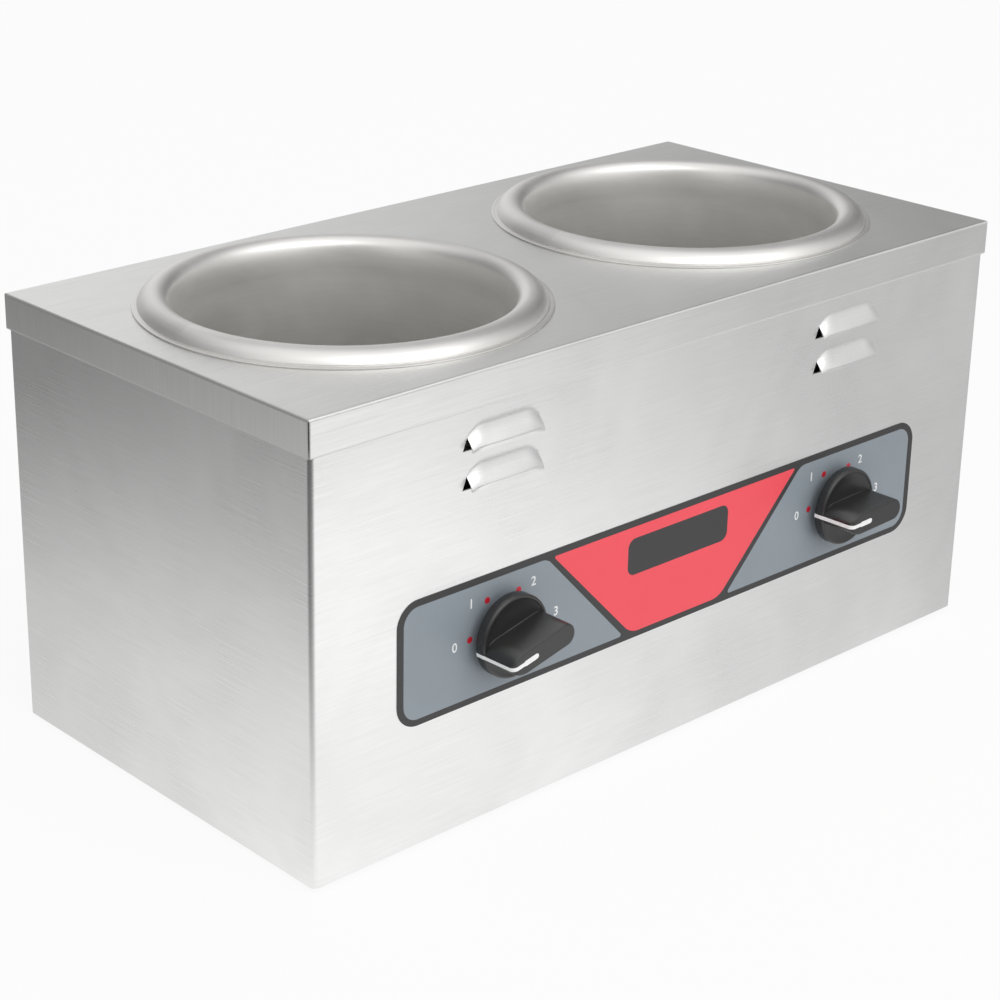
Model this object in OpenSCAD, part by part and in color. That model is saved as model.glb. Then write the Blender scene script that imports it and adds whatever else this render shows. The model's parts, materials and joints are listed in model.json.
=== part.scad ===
// Countertop topping warmer with two round wells, two heat knobs and a sheet metal body.
// X runs to the right seen from the front, Y to the back and Z up.
// The origin is on the counter, under the middle of the body.

/* [Body] */
// Width of the folded body
body_w = 489; // [474:1:540]
// Depth of the folded body
body_d = 241.5; // [238:0.5:280]
// Height from the bottom edge of the body to the top of the deck
body_h = 236.5; // [226:0.5:270]
// Thickness of the stainless sheet
sheet = 0.9; // [0.7:0.1:1.2]
// Outer radius of the upright bends of the body
body_bend_r = 3; // [2:0.5:5]
// Width of the inward return flanges of the body
return_w = 12; // [10:1:15]
// Height of the bottom edge of the body above the counter
foot_lift = 3; // [3:0.5:12]

/* [Deck] */
// Height of the down-turned flange of the deck
flange_h = 18.6; // [14:0.2:24]
// Gap between the body and the deck flange
deck_gap = 0.2; // [0.2:0.05:0.5]
// Outer radius of the folded top edges of the deck
deck_edge_r = 1.5; // [1.3:0.1:2.5]
// Outer radius of the upright corners of the deck flange
deck_corner_r = 1.4; // [1.3:0.1:2.5]

/* [Wells] */
// Inside radius of a well
well_r = 86; // [80:0.5:88]
// Share of the deck's free width that lies between the two rims
well_share = 0.54; // [0.4:0.01:0.65]
// Height of a well's inside bottom above the bottom edge of the body
heater_room = 46.5; // [45:0.5:70]
// Inside radius between the wall and the bottom of a well
well_corner_r = 10; // [6:1:16]
// Radius of the roll from the crest of the rim into the well
roll_r = 8; // [7:0.25:9]
// Height of the rim crest above the deck
crest_h = 7.6; // [6:0.2:9]
// Distance from the rim crest to the foot of its outer flank
flank_w = 9.5; // [8:0.5:11]
// Width of the flat lip around the rim
lip_w = 2.5; // [2:0.25:4]
// Distance that the deck covers under the lip and the flank
deck_under_rim = 8; // [6:0.5:10]

/* [Well clamps] */
// Thickness of the gasket under the deck
gasket_t = 2; // [1:0.5:3]
// Height of the clamp collar
clamp_h = 14; // [10:1:20]
// Thickness of the clamp collar
clamp_t = 1.2; // [1:0.1:1.6]
// Gap in the clamp collar between its two ears
clamp_split = 6; // [4:1:10]
// Length of a clamp ear away from the well
clamp_ear = 11; // [9:1:14]

/* [Heaters] */
// Radius of the heat plate under a well
plate_r = 70; // [68:1:74]
// Thickness of the heat plate
plate_t = 3; // [2:0.5:5]
// Ring radius of the outer heating element
outer_ring_r = 60; // [57:1:64]
// Ring radius of the inner heating element
inner_ring_r = 39; // [37:1:42]
// Radius of the element tube
element_r = 4; // [3:0.25:4.5]
// Distance between the two cold ends of an element
cold_end_gap = 16; // [14:1:20]
// Length of the cold ends below the ring
cold_end_len = 12; // [10:1:15]
// Radius of the connection pins
pin_r = 1.3; // [1:0.1:1.6]
// Width of the bar that clamps the elements
bar_w = 20; // [16:1:20]
// Thickness of the bar that clamps the elements
bar_t = 2; // [1.5:0.5:3]
// Radius of the centre stud under a well
stud_r = 3; // [2.5:0.5:3.5]
// Radius of a thermal cut-out
cutout_r = 7.5; // [6:0.5:8]
// Distance of a thermal cut-out from the middle of its well
cutout_y = 21; // [20.5:0.5:23]
// Thickness of the insulation boards
board_t = 16; // [10:1:20]

/* [Control panel] */
// Distance from the sides of the body to the printed overlay
overlay_margin = 51.5; // [40:0.5:60]
// Height of the printed overlay
overlay_h = 66; // [60:1:80]
// Corner radius of the overlay
overlay_corner_r = 13; // [8:1:18]
// Thickness of the overlay film
overlay_t = 0.3; // [0.2:0.1:0.6]
// Distance of a knob axis from its well's centre, away from the middle of the body
control_offset = 2; // [-6:0.5:12]
// Height of the knob axes above the bottom edge of the body
control_z = 98.5; // [92:0.5:110]
// Height of the knob axes above the middle of the overlay
overlay_drop = 0.5; // [0:0.5:8]

/* [Knobs] */
// Radius of the knob skirt
skirt_r = 21.6; // [20:0.1:24]
// Gap between the overlay and the back of the knob
knob_gap = 4.8; // [0.6:0.1:5.5]
// Distance from the panel to the end of the straight skirt wall
skirt_h = 10; // [9:0.5:12]
// Further distance over which the skirt narrows to its face
skirt_bevel_h = 0.9; // [0.5:0.1:4]
// Width of that narrowing
skirt_bevel_w = 0.8; // [0.4:0.1:3]
// Distance from the panel to the front of the grip
knob_h = 30.5; // [26:0.5:34]
// Thickness of the grip
grip_w = 12; // [10:0.2:13]
// Radius of the rounded front edge of the grip
grip_edge_r = 3; // [2:0.25:4]
// Length of the rounded nose of the grip at its pointer
nose_l = 9.5; // [8:0.5:14]
// Width of the white pointer line
pointer_w = 1.8; // [1.4:0.1:2]
// Depth of the pointer groove
pointer_t = 0.6; // [0.4:0.1:0.9]
// Radius of the switch shaft
shaft_r = 3; // [2.5:0.25:3.5]
// Turn between two heat marks
mark_step = 59; // [50:1:60]
// Turn by which the left pointer rests past its first mark
left_lag = 16; // [0:1:20]
// Turn by which the right pointer rests past its first mark
right_lag = 5; // [0:1:20]

/* [Heat switches] */
// Width of a switch body
switch_w = 40; // [34:1:44]
// Height of a switch body
switch_h = 42; // [36:1:46]
// Gap between a switch body and its heat shield
switch_back_gap = 7; // [4:0.5:9]
// Radius of the switch bushing
bushing_r = 4.7; // [4.5:0.1:5.5]
// Length of the bushing in front of the panel
bushing_out = 4.2; // [3.6:0.1:4.4]
// Distance across the flats of the switch nut
switch_nut_af = 14; // [13:0.5:16]
// Thickness of the switch nut
switch_nut_t = 2.5; // [2:0.25:3]
// Gap between a heat shield plate and its well
shield_gap = 5.5; // [3:0.5:7]
// Height of the heat shield plates
shield_h = 140; // [90:1:150]

/* [Louvers] */
// Width of a front louver
louver_w = 46.5; // [36:0.5:56]
// Height of a front louver from its lower edge to its bend
louver_rise = 11; // [8:0.5:14]
// Distance that a louver stands out of the front
louver_out = 4.6; // [3:0.2:6]
// Distance between the upper and the lower louver
louver_pitch = 20; // [17:0.5:24]
// Distance of a louver's middle from its well's centre, away from the middle of the body
louver_offset = 3; // [-6:0.5:12]
// Height of the lower edge of the upper louver above the bottom edge
louver_z = 199; // [175:0.5:200]

/* [Rear and base] */
// Length of a vent slot
vent_l = 60; // [40:1:80]
// Width of a vent slot
vent_w = 4; // [3:0.5:5]
// Distance between vent slots
vent_pitch = 10; // [8:0.5:13]
// Number of vent slots in a row
vent_count = 7; // [3:1:8]
// Height of the cord gland above the bottom edge of the body
gland_z = 34; // [30:1:45]
// Radius of the gland thread
gland_r = 8; // [7:0.5:10]
// Radius of the cord hole in the gland
gland_bore_r = 4.5; // [3.5:0.25:5]
// Distance that the gland stands out of the rear panel
gland_out = 28; // [24:0.5:32]
// Radius of a foot
foot_r = 9; // [8:0.5:11]
// Distance of a foot from the sides of the body
foot_in_x = 29; // [27:1:40]
// Distance of a foot from the front and the back of the body
foot_in_y = 28; // [26:1:36]
// Radius of the wire leads over their insulation
lead_r = 1.3; // [1:0.1:1.5]

/* [Hidden] */
$fn = 96;
eps = 0.01;
// Clearances
fit_gap = 0.3;
thread_gap = 0.05;
running_gap = 0.05;
hole_gap = 0.2;
// Levels, from the counter up
base_z = foot_lift;
pan_z = base_z + sheet;
floor_z = pan_z + sheet;
deck_z = base_z + body_h;
deck_under = deck_z - sheet;
well_floor = base_z + heater_room;
well_under = well_floor - sheet;
plate_z = well_under - plate_t;
element_gap = 0.2;
ring_z = plate_z - element_gap - element_r;
bar_z = ring_z - element_r - element_gap - bar_t;
// Planes of the body
front_y = -body_d / 2;
inner_front_y = front_y + sheet;
flange_rear_y = body_d / 2 - sheet;
rear_in_y = flange_rear_y - sheet;
knob_z = base_z + control_z;
overlay_z = knob_z - overlay_drop;
// Rim of a well
crest_r = well_r + roll_r;
flank_r = (flank_w * flank_w + pow(crest_h - sheet, 2)) / (2 * (crest_h - sheet));
lip_r = crest_r + flank_w + lip_w;
deck_hole_r = lip_r - deck_under_rim;
wall_r = well_r + sheet;
collar_r = wall_r + fit_gap;
clamp_top = deck_under - gasket_t;
clamp_outer_r = lip_r - 2;
// Places across the width
well_x = lip_r + well_share * (body_w - 4 * lip_r) / 2;
control_x = well_x + control_offset;
louver_x = well_x + louver_offset;
overlay_w = body_w - 2 * overlay_margin;
// Heat shields, and the switches in front of them
shield_t = 0.6;
shield_margin = 45;
shield_foot = 12;
shield_ear = 30;
shield_front_y = -wall_r - shield_gap - shield_t;
shield_screw_x = switch_w / 2 + shield_ear;
switch_d = shield_front_y - switch_back_gap - inner_front_y;
bore_depth = 0.4 * switch_d;
// Nuts on the centre studs
element_nut_af = 10;
element_nut_t = 5;
stud_tail = 8;
// Screws: head radius, head height, shank radius
small_head = [3.4, 1.6];
small_shank = 1.75;
// Terminal block
block_w = 62;
block_d = 22;
block_h = 16;
block_y = 72;
earth_room = 13;
pole_x = [-25, -15, -5, 5, 15, 25];
entry_z = floor_z + 7.2;
tab_y = inner_front_y + 0.55 * switch_d;
tab_z = knob_z - switch_h / 2 - 8;
tab_x = [-14, 0, 14];
tab_w = 6.3;
tab_t = 0.8;
pin_z = ring_z - cold_end_len - 8;
cutout_h = 10;
cutout_tab_x = 5.5;
cutout_tab_z = plate_z - cutout_h - 5;

function out_at(u) = louver_out * cos(90 * u);
function knob_angle(side) = 3 * mark_step + (side < 0 ? left_lag : right_lag);

module rounded_rect(w, d, r) {
    square([w - 2 * r, d], center = true);
    square([w, d - 2 * r], center = true);
    for (x = [-1, 1], y = [-1, 1]) translate([x * (w / 2 - r), y * (d / 2 - r)]) circle(r);
}

// A sheet folded down at its long edge, seen from its end
module folded_profile(w, h, r) {
    translate([-w / 2, -h]) square([w, h - r]);
    translate([-w / 2 + r, -h]) square([w - 2 * r, h]);
    for (x = [-1, 1]) translate([x * (w / 2 - r), -r]) circle(r);
}

module folded_block(w, d, h, edge, corner) {
    intersection() {
        rotate([90, 0, 0]) linear_extrude(d + 2, center = true) folded_profile(w, h, edge);
        rotate([90, 0, 90]) linear_extrude(w + 2, center = true) folded_profile(d, h, edge);
        translate([0, 0, -h]) linear_extrude(h + 1) rounded_rect(w, d, corner);
    }
}

module at_wells() {
    for (side = [-1, 1]) translate([side * well_x, 0, 0]) children();
}

module at_well(side) {
    translate([side * well_x, 0, 0]) children();
}

// Draws its children on a plane facing the front, out from the given depth
module on_front(y, t) {
    translate([0, y, 0]) rotate([90, 0, 0]) linear_extrude(t) children();
}

// A pan head screw with a cross recess: the head stands up from 0, the shank hangs down
module screw(head, shank, len) {
    difference() {
        cylinder(r = head[0], h = head[1]);
        for (a = [0, 90]) rotate([0, 0, a]) translate([-1.8, -0.4, head[1] - 0.8]) cube([3.6, 0.8, 1]);
    }
    translate([0, 0, -len]) cylinder(r = shank, h = len + eps);
}

module hex_nut(af, t, hole) {
    difference() {
        cylinder(r = af / 2 / cos(30), h = t, $fn = 6);
        translate([0, 0, -1]) cylinder(r = hole, h = t + 2);
    }
}

// Top deck: a folded lid with the two well openings
module top_deck() {
    w = body_w + 2 * deck_gap;
    d = body_d + 2 * deck_gap;
    color([0.8, 0.8, 0.79]) difference() {
        translate([0, 0, deck_z])
            folded_block(w + 2 * sheet, d + 2 * sheet, flange_h, deck_edge_r, deck_corner_r);
        translate([0, 0, deck_under])
            folded_block(w, d, flange_h, deck_edge_r - sheet, deck_corner_r - sheet);
        at_wells() translate([0, 0, deck_z - flange_h]) cylinder(r = deck_hole_r, h = flange_h + 1);
        for (x = deck_screw_x) translate([x, body_d / 2, deck_screw_z])
            rotate([-90, 0, 0]) cylinder(r = small_shank + hole_gap, h = 5);
    }
}

deck_screw_x = [-body_w * 0.3, 0, body_w * 0.3];
deck_screw_z = deck_z - flange_h / 2;

// Body wrapper: the front and the two sides folded from one sheet, with return flanges
module wrapper() {
    deck_bend_room = deck_edge_r - sheet;
    h = deck_under - deck_bend_room - base_z;
    color([0.82, 0.82, 0.81]) {
        difference() {
            translate([0, 0, base_z]) linear_extrude(h) difference() {
                rounded_rect(body_w, body_d, body_bend_r);
                rounded_rect(body_w - 2 * sheet, body_d - 2 * sheet, body_bend_r - sheet);
                translate([-body_w / 2 + return_w, 0]) square([body_w - 2 * return_w, body_d]);
            }
            louver_slots();
            for (side = [-1, 1]) translate([side * control_x, front_y - 1, knob_z])
                rotate([-90, 0, 0]) cylinder(r = bushing_r + hole_gap, h = sheet + 2);
            rear_screw_places() cylinder(r = small_shank + hole_gap, h = 6, center = true);
        }
        difference() {
            translate([0, 0, base_z]) linear_extrude(sheet) difference() {
                rounded_rect(body_w, body_d, body_bend_r);
                translate([-body_w / 2 + return_w, -body_d / 2 + return_w])
                    square([body_w - 2 * return_w, body_d]);
            }
            bottom_screw_places(false) cylinder(r = small_shank + hole_gap, h = 6, center = true);
        }
        for (side = [-1, 1], n = [0, 1])
            translate([side * louver_x, 0, base_z + louver_z - n * louver_pitch]) louver_flap();
    }
}

module louver_slots() {
    for (side = [-1, 1], n = [0, 1])
        translate([side * louver_x - louver_w / 2, front_y - 1, base_z + louver_z - n * louver_pitch])
            cube([louver_w, sheet + 2, louver_rise]);
}

// One louver, pushed out of the front and open at its lower edge and its two ends
module louver_flap() {
    steps = 8;
    outer = [for (i = [0:steps]) [front_y - out_at(i / steps), louver_rise * i / steps]];
    inner = [for (i = [steps:-1:0]) [front_y - out_at(i / steps) + sheet, louver_rise * i / steps]];
    translate([-louver_w / 2, 0, 0]) rotate([90, 0, 90]) linear_extrude(louver_w)
        polygon(concat(outer, inner));
}

// Places of the screws in the rear flanges
module rear_screw_places() {
    for (x = [-1, 1], z = [0.15, 0.5, 0.85])
        translate([x * (body_w / 2 - return_w / 2 - 1), body_d / 2, base_z + body_h * z])
            rotate([-90, 0, 0]) children();
}

// Places of the screws under the base, in the body flanges or in the rear panel's flange
module bottom_screw_places(rear) {
    inset = return_w / 2;
    if (rear) for (x = [-0.38, -0.13, 0.13, 0.38])
        translate([x * body_w, rear_in_y - inset, pan_z]) rotate([180, 0, 0]) children();
    else {
        for (x = [-0.42, 0, 0.42])
            translate([x * body_w, front_y + inset, base_z]) rotate([180, 0, 0]) children();
        for (x = [-1, 1], y = [-0.25, 0.25])
            translate([x * (body_w / 2 - inset), y * body_d, base_z]) rotate([180, 0, 0]) children();
    }
}

// Rear panel: closes the back inside the return flanges and stands on the bottom pan
module rear_panel() {
    half = body_w / 2 - body_bend_r - fit_gap;
    top = deck_under - fit_gap;
    color([0.74, 0.74, 0.73]) difference() {
        union() {
            translate([-half, rear_in_y, floor_z]) cube([2 * half, sheet, top - floor_z]);
            translate([-half, rear_in_y - return_w, floor_z]) cube([2 * half, return_w + sheet, sheet]);
        }
        for (side = [-1, 1], n = [0:vent_count - 1])
            translate([side * well_x, rear_in_y - 1, base_z + body_h * 0.3 + n * vent_pitch])
                rotate([-90, 0, 0]) slot(vent_l, vent_w, sheet + 2);
        translate([0, rear_in_y - 1, base_z + gland_z]) rotate([-90, 0, 0])
            cylinder(r = gland_r + hole_gap, h = sheet + 2);
        rear_screw_places() cylinder(r = small_shank + thread_gap, h = 6, center = true);
        for (x = deck_screw_x) translate([x, rear_in_y - 1, deck_screw_z])
            rotate([-90, 0, 0]) cylinder(r = small_shank + thread_gap, h = sheet + 2);
        bottom_screw_places(true) cylinder(r = small_shank + thread_gap, h = 8, center = true);
    }
}

module slot(l, w, t) {
    linear_extrude(t) {
        square([l - w, w], center = true);
        for (x = [-1, 1]) translate([x * (l - w) / 2, 0]) circle(w / 2);
    }
}

// Bottom pan: lies on the return flanges and carries the feet, the shields and the terminals
module bottom_pan() {
    w = body_w - 2 * sheet - 2 * fit_gap;
    d = body_d - 2 * sheet - 2 * fit_gap;
    color([0.7, 0.7, 0.69]) difference() {
        translate([0, 0, pan_z]) linear_extrude(sheet) rounded_rect(w, d, body_bend_r - sheet);
        for (side = [-1, 1], n = [0:vent_count - 1])
            translate([side * well_x + (n - (vent_count - 1) / 2) * vent_pitch, body_d * 0.29, pan_z - 1])
                rotate([0, 0, 90]) slot(vent_l * 0.6, vent_w, sheet + 2);
        bottom_screw_places(false) cylinder(r = small_shank + thread_gap, h = 8, center = true);
        bottom_screw_places(true) cylinder(r = small_shank + hole_gap, h = 8, center = true);
        for (p = foot_places) translate([p[0], p[1], pan_z - 1])
            cylinder(r = small_shank + thread_gap, h = sheet + 2);
        shield_screw_places() cylinder(r = small_shank + thread_gap, h = 8, center = true);
        for (x = [-1, 1]) translate([x * block_screw_x, block_y + block_d / 2, pan_z - 1])
            cylinder(r = small_shank + thread_gap, h = sheet + 2);
        translate([earth_x, earth_y, pan_z - 1]) cylinder(r = 2 + hole_gap, h = sheet + 2);
    }
}

foot_places = [for (x = [-1, 1], y = [-1, 1])
    [x * (body_w / 2 - foot_in_x), y * (body_d / 2 - foot_in_y)]];
block_screw_x = block_w / 2 + 4;
earth_x = block_screw_x + earth_room;
earth_y = block_y + block_d / 2;

// One drawn well: lip, domed rim, rolled mouth, wall, bottom and centre stud
module well(side) {
    arc_z = deck_z + crest_h - roll_r;
    flank_z = deck_z + crest_h - flank_r;
    wall_low = well_floor + well_corner_r;
    color([0.62, 0.62, 0.6]) at_well(side) {
        rotate_extrude() {
            intersection() {
                translate([crest_r, arc_z]) difference() {
                    circle(roll_r);
                    circle(roll_r - sheet);
                }
                translate([well_r - 1, arc_z]) square([roll_r + 1, roll_r + 1]);
            }
            intersection() {
                translate([crest_r, flank_z]) difference() {
                    circle(flank_r);
                    circle(flank_r - sheet);
                }
                translate([crest_r, deck_z]) square([flank_w + lip_w, crest_h + 1]);
            }
            translate([lip_r - lip_w - sheet / 2, deck_z]) square([lip_w + sheet / 2, sheet]);
            translate([well_r, wall_low]) square([sheet, arc_z - wall_low]);
            intersection() {
                translate([well_r - well_corner_r, wall_low]) difference() {
                    circle(well_corner_r + sheet);
                    circle(well_corner_r);
                }
                translate([well_r - well_corner_r, well_under - 1])
                    square([well_corner_r + 2, well_corner_r + sheet + 1]);
            }
            translate([0, well_under]) square([well_r - well_corner_r, sheet]);
        }
        translate([0, 0, bar_z - stud_tail])
            cylinder(r = stud_r, h = well_under - bar_z + stud_tail + eps);
    }
}

// Gasket between the deck and the clamp collar
module rim_gasket(side) {
    color([0.55, 0.2, 0.15]) at_well(side) translate([0, 0, clamp_top]) difference() {
        cylinder(r = clamp_outer_r, h = gasket_t);
        translate([0, 0, -1]) cylinder(r = deck_hole_r + fit_gap, h = gasket_t + 2);
    }
}

// Split collar that grips the wall of the well and pulls its rim down on the deck
module clamp_ring(side) {
    ear_y = collar_r + clamp_t;
    color([0.6, 0.61, 0.62]) at_well(side) difference() {
        union() {
            translate([0, 0, clamp_top - clamp_h]) cylinder(r = collar_r + clamp_t, h = clamp_h);
            translate([0, 0, clamp_top - clamp_t]) cylinder(r = clamp_outer_r, h = clamp_t);
            translate([-clamp_split / 2 - clamp_t, collar_r, clamp_top - clamp_h])
                cube([clamp_split + 2 * clamp_t, clamp_ear + clamp_t, clamp_h - clamp_t]);
        }
        translate([0, 0, clamp_top - clamp_h - 1]) cylinder(r = collar_r, h = clamp_h + 2);
        translate([-clamp_split / 2, 0, clamp_top - clamp_h - 1])
            cube([clamp_split, clamp_outer_r + clamp_ear, clamp_h + 2]);
        translate([0, ear_y + clamp_ear / 2, clamp_top - clamp_h / 2]) rotate([0, 90, 0])
            cylinder(r = small_shank + hole_gap, h = clamp_split + 9, center = true);
    }
}

// Pinch screws and nuts of the two collars
module clamp_screws() {
    x = clamp_split / 2 + clamp_t;
    color([0.75, 0.75, 0.76]) at_wells()
        translate([0, collar_r + clamp_t + clamp_ear / 2, clamp_top - clamp_h / 2]) {
            translate([x, 0, 0]) rotate([0, 90, 0]) screw(small_head, small_shank, 2 * x + 4);
            translate([-x, 0, 0]) rotate([0, -90, 0]) hex_nut(6, 2.4, small_shank + thread_gap);
        }
}

// Aluminium plate that spreads the heat under a well
module heat_plate(side) {
    color([0.78, 0.79, 0.8]) at_well(side) difference() {
        translate([0, 0, plate_z]) cylinder(r = plate_r, h = plate_t);
        translate([0, 0, plate_z - 1]) cylinder(r = stud_r + hole_gap, h = plate_t + 2);
        for (x = [-1, 1]) translate([x * cutout_ear_x, -cutout_y, plate_z - 1])
            cylinder(r = 1.25 + thread_gap, h = plate_t - 0.4 + 1);
    }
}

cutout_ear_x = cutout_r + 4.5;

// Ring element: the tube stops at a flat plug past each of its two cold ends, which hang below it
module element(side, ring_r) {
    end_angle = asin((cold_end_gap / 2 - element_r - plug_l) / ring_r);
    y = ring_r * cos(asin(cold_end_gap / 2 / ring_r));
    color([0.32, 0.3, 0.29]) at_well(side) translate([0, 0, ring_z]) {
        rotate([0, 0, 90 + end_angle]) rotate_extrude(angle = 360 - 2 * end_angle)
            translate([ring_r, 0]) circle(element_r);
        for (x = [-1, 1]) translate([x * cold_end_gap / 2, y, 0]) {
            translate([0, 0, -cold_end_len]) cylinder(r = element_r - 0.8, h = cold_end_len);
            translate([0, 0, pin_z - ring_z]) cylinder(r = pin_r, h = ring_z - pin_z - cold_end_len / 2);
        }
    }
}

plug_l = 0.5;

// Bar on the centre stud that presses both elements against the heat plate
module element_bar(side) {
    l = 2 * (outer_ring_r + element_r + 2);
    color([0.66, 0.67, 0.68]) at_well(side) difference() {
        translate([-l / 2, -bar_w / 2, bar_z]) cube([l, bar_w, bar_t]);
        translate([0, 0, bar_z - 1]) cylinder(r = stud_r + hole_gap, h = bar_t + 2);
    }
}

module element_nuts() {
    color([0.75, 0.75, 0.76]) at_wells() translate([0, 0, bar_z - element_nut_t])
        hex_nut(element_nut_af, element_nut_t, stud_r + thread_gap);
}

// Thermal cut-out on the heat plate, with its mounting ears and two blade terminals
module cutout(side) {
    ear_l = 2 * (cutout_ear_x + 3);
    color([0.2, 0.18, 0.17]) at_well(side) translate([0, -cutout_y, plate_z]) {
        difference() {
            union() {
                translate([0, 0, -cutout_h]) cylinder(r = cutout_r, h = cutout_h);
                translate([-ear_l / 2, -3, -0.8]) cube([ear_l, 6, 0.8]);
            }
            for (x = [-1, 1]) translate([x * cutout_ear_x, 0, -2]) cylinder(r = 1.25 + hole_gap, h = 3);
        }
        for (x = [-1, 1]) translate([x * cutout_tab_x - tab_t / 2, -2, -cutout_h - 5])
            cube([tab_t, 4, 5 + eps]);
    }
}

module cutout_screws() {
    color([0.75, 0.75, 0.76]) at_wells() for (x = [-1, 1])
        translate([x * cutout_ear_x, -cutout_y, plate_z - 0.8]) rotate([180, 0, 0]) {
            cylinder(r = 2.3, h = 1.3);
            translate([0, 0, -2.6]) cylinder(r = 1.25, h = 2.6 + eps);
        }
}

// Rigid insulation board between the heater and the bottom pan
module insulation(side) {
    l = 2 * (outer_ring_r - 2);
    color([0.88, 0.86, 0.78]) at_well(side) translate([-l / 2, -l / 2, floor_z])
        cube([l, l / 2 + inner_ring_r - element_r - 8, board_t]);
}

// Upright plate between a well and its heat switch
module heat_shield(side) {
    w = switch_w + 2 * shield_margin;
    color([0.7, 0.71, 0.72]) difference() {
        translate([side * control_x - w / 2, shield_front_y, floor_z]) {
            cube([w, shield_t, shield_h]);
            cube([w, shield_foot, shield_t]);
        }
        shield_screw_places() cylinder(r = small_shank + hole_gap, h = 8, center = true);
    }
}

module shield_screw_places() {
    for (side = [-1, 1], x = [-1, 1])
        translate([side * control_x + x * shield_screw_x, shield_front_y + shield_foot * 0.6,
            floor_z + shield_t]) children();
}

module shield_screws() {
    color([0.75, 0.75, 0.76]) shield_screw_places() screw(small_head, small_shank, shield_t + sheet + 1);
}

// Printed film on the front, with a hole over each switch nut
module control_overlay() {
    color([0.49, 0.54, 0.57]) on_front(front_y, overlay_t) difference() {
        translate([0, overlay_z]) rounded_rect(overlay_w, overlay_h, overlay_corner_r);
        for (x = [-1, 1]) translate([x * control_x, knob_z])
            circle(switch_nut_af / 2 / cos(30) + 1);
    }
}

// Rotary heat switch behind the front, with its threaded bushing
module heat_switch(side) {
    color([0.16, 0.15, 0.15]) translate([side * control_x, inner_front_y, knob_z]) difference() {
        union() {
            translate([-switch_w / 2, 0, -switch_h / 2]) cube([switch_w, switch_d, switch_h]);
            rotate([90, 0, 0]) cylinder(r = bushing_r, h = sheet + bushing_out);
        }
        translate([0, bore_depth, 0]) rotate([90, 0, 0])
            cylinder(r = shaft_r + running_gap, h = bore_depth + sheet + bushing_out + 1);
    }
}

module switch_tabs() {
    color([0.8, 0.65, 0.3]) for (side = [-1, 1], x = tab_x)
        translate([side * control_x + x - tab_w / 2, tab_y - tab_t / 2, tab_z])
            cube([tab_w, tab_t, knob_z - switch_h / 2 - tab_z]);
}

module switch_nut(side) {
    color([0.8, 0.8, 0.82]) translate([side * control_x, front_y, knob_z]) rotate([90, 0, 0])
        hex_nut(switch_nut_af, switch_nut_t, bushing_r + thread_gap);
}

// Places children on a knob axis: X towards the pointer's mark, Z out of the panel
module at_knob(side) {
    translate([side * control_x, front_y, knob_z]) rotate([0, -knob_angle(side), 0])
        rotate([90, 0, 0]) children();
}

shaft_front = knob_h - 7;
shaft_flat = shaft_r - 0.8;
flat_from = bushing_out + 1;
spring_t = 0.4;
grip_base_r = skirt_r - 0.1;
grip_front_r = skirt_r - 0.6;
tail_in = 0.4;
pad_from = 4.3;
pad_l = 9.2;
hub_from = bushing_out + 0.6;

// Switch shaft, with a flat where the knob sits on it
module shaft(side) {
    back = fit_gap - sheet - bore_depth;
    color([0.75, 0.75, 0.76]) at_knob(side) difference() {
        translate([0, 0, back]) cylinder(r = shaft_r, h = shaft_front - back);
        translate([-shaft_r, -shaft_r - 1, flat_from])
            cube([2 * shaft_r, shaft_r + 1 - shaft_flat, knob_h]);
    }
}

// Leaf spring between the shaft flat and the knob
module knob_spring(side) {
    color([0.7, 0.7, 0.72]) at_knob(side)
        translate([-1.6, -shaft_flat - spring_t, flat_from + 1])
            cube([3.2, spring_t, shaft_front - flat_from - 2]);
}

// Turned outline of the grip, drawn in by the given depth
module grip_lathe(inset) {
    rotate_extrude() {
        polygon([[0, skirt_h], [grip_base_r - inset, skirt_h],
            [grip_front_r - inset, knob_h - grip_edge_r], [0, knob_h - grip_edge_r]]);
        translate([0, knob_h - grip_edge_r - eps])
            square([grip_front_r - grip_edge_r, grip_edge_r - inset + eps]);
        intersection() {
            translate([grip_front_r - grip_edge_r, knob_h - grip_edge_r]) circle(grip_edge_r - inset);
            translate([0, skirt_h]) square([skirt_r, knob_h]);
        }
    }
}

// Plan of the grip: a straight bar with a round tail, and a narrower nose at the pointer
module grip_plan() {
    half = grip_w / 2;
    tip = pointer_w / 2 + 0.2;
    nose_x = skirt_r - nose_l;
    drop = half - tip;
    nose_r = (nose_l * nose_l + drop * drop) / (2 * drop);
    tail_x = half + tail_in - grip_front_r;
    translate([tail_x, -half]) square([nose_x - tail_x, grip_w]);
    translate([tail_x, 0]) circle(half);
    intersection() {
        translate([nose_x, half - nose_r]) circle(nose_r);
        translate([nose_x, nose_r - half]) circle(nose_r);
        translate([nose_x - 1, -half]) square([nose_l + 2, grip_w]);
    }
}

// Where the pointer runs: up the skirt and the nose, and along the front towards the middle
module pointer_band() {
    translate([0, -pointer_w / 2, overlay_t]) cube([skirt_r + 2, pointer_w, knob_h]);
    pad = pointer_w * 0.8;
    translate([pad_from + pad, -pad, knob_h - 2]) cube([pad_l - pad, 2 * pad, 4]);
    translate([pad_from + pad, 0, knob_h - 2]) cylinder(r = pad, h = 4);
}

module pointer_core() {
    grip_lathe(pointer_t);
    translate([0, 0, -1]) cylinder(r = skirt_r - pointer_t, h = skirt_h + 1.5);
    translate([-skirt_r - 1, -skirt_r, 0]) cube([skirt_r + 1.5, 2 * skirt_r, knob_h + 1]);
}

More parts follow.
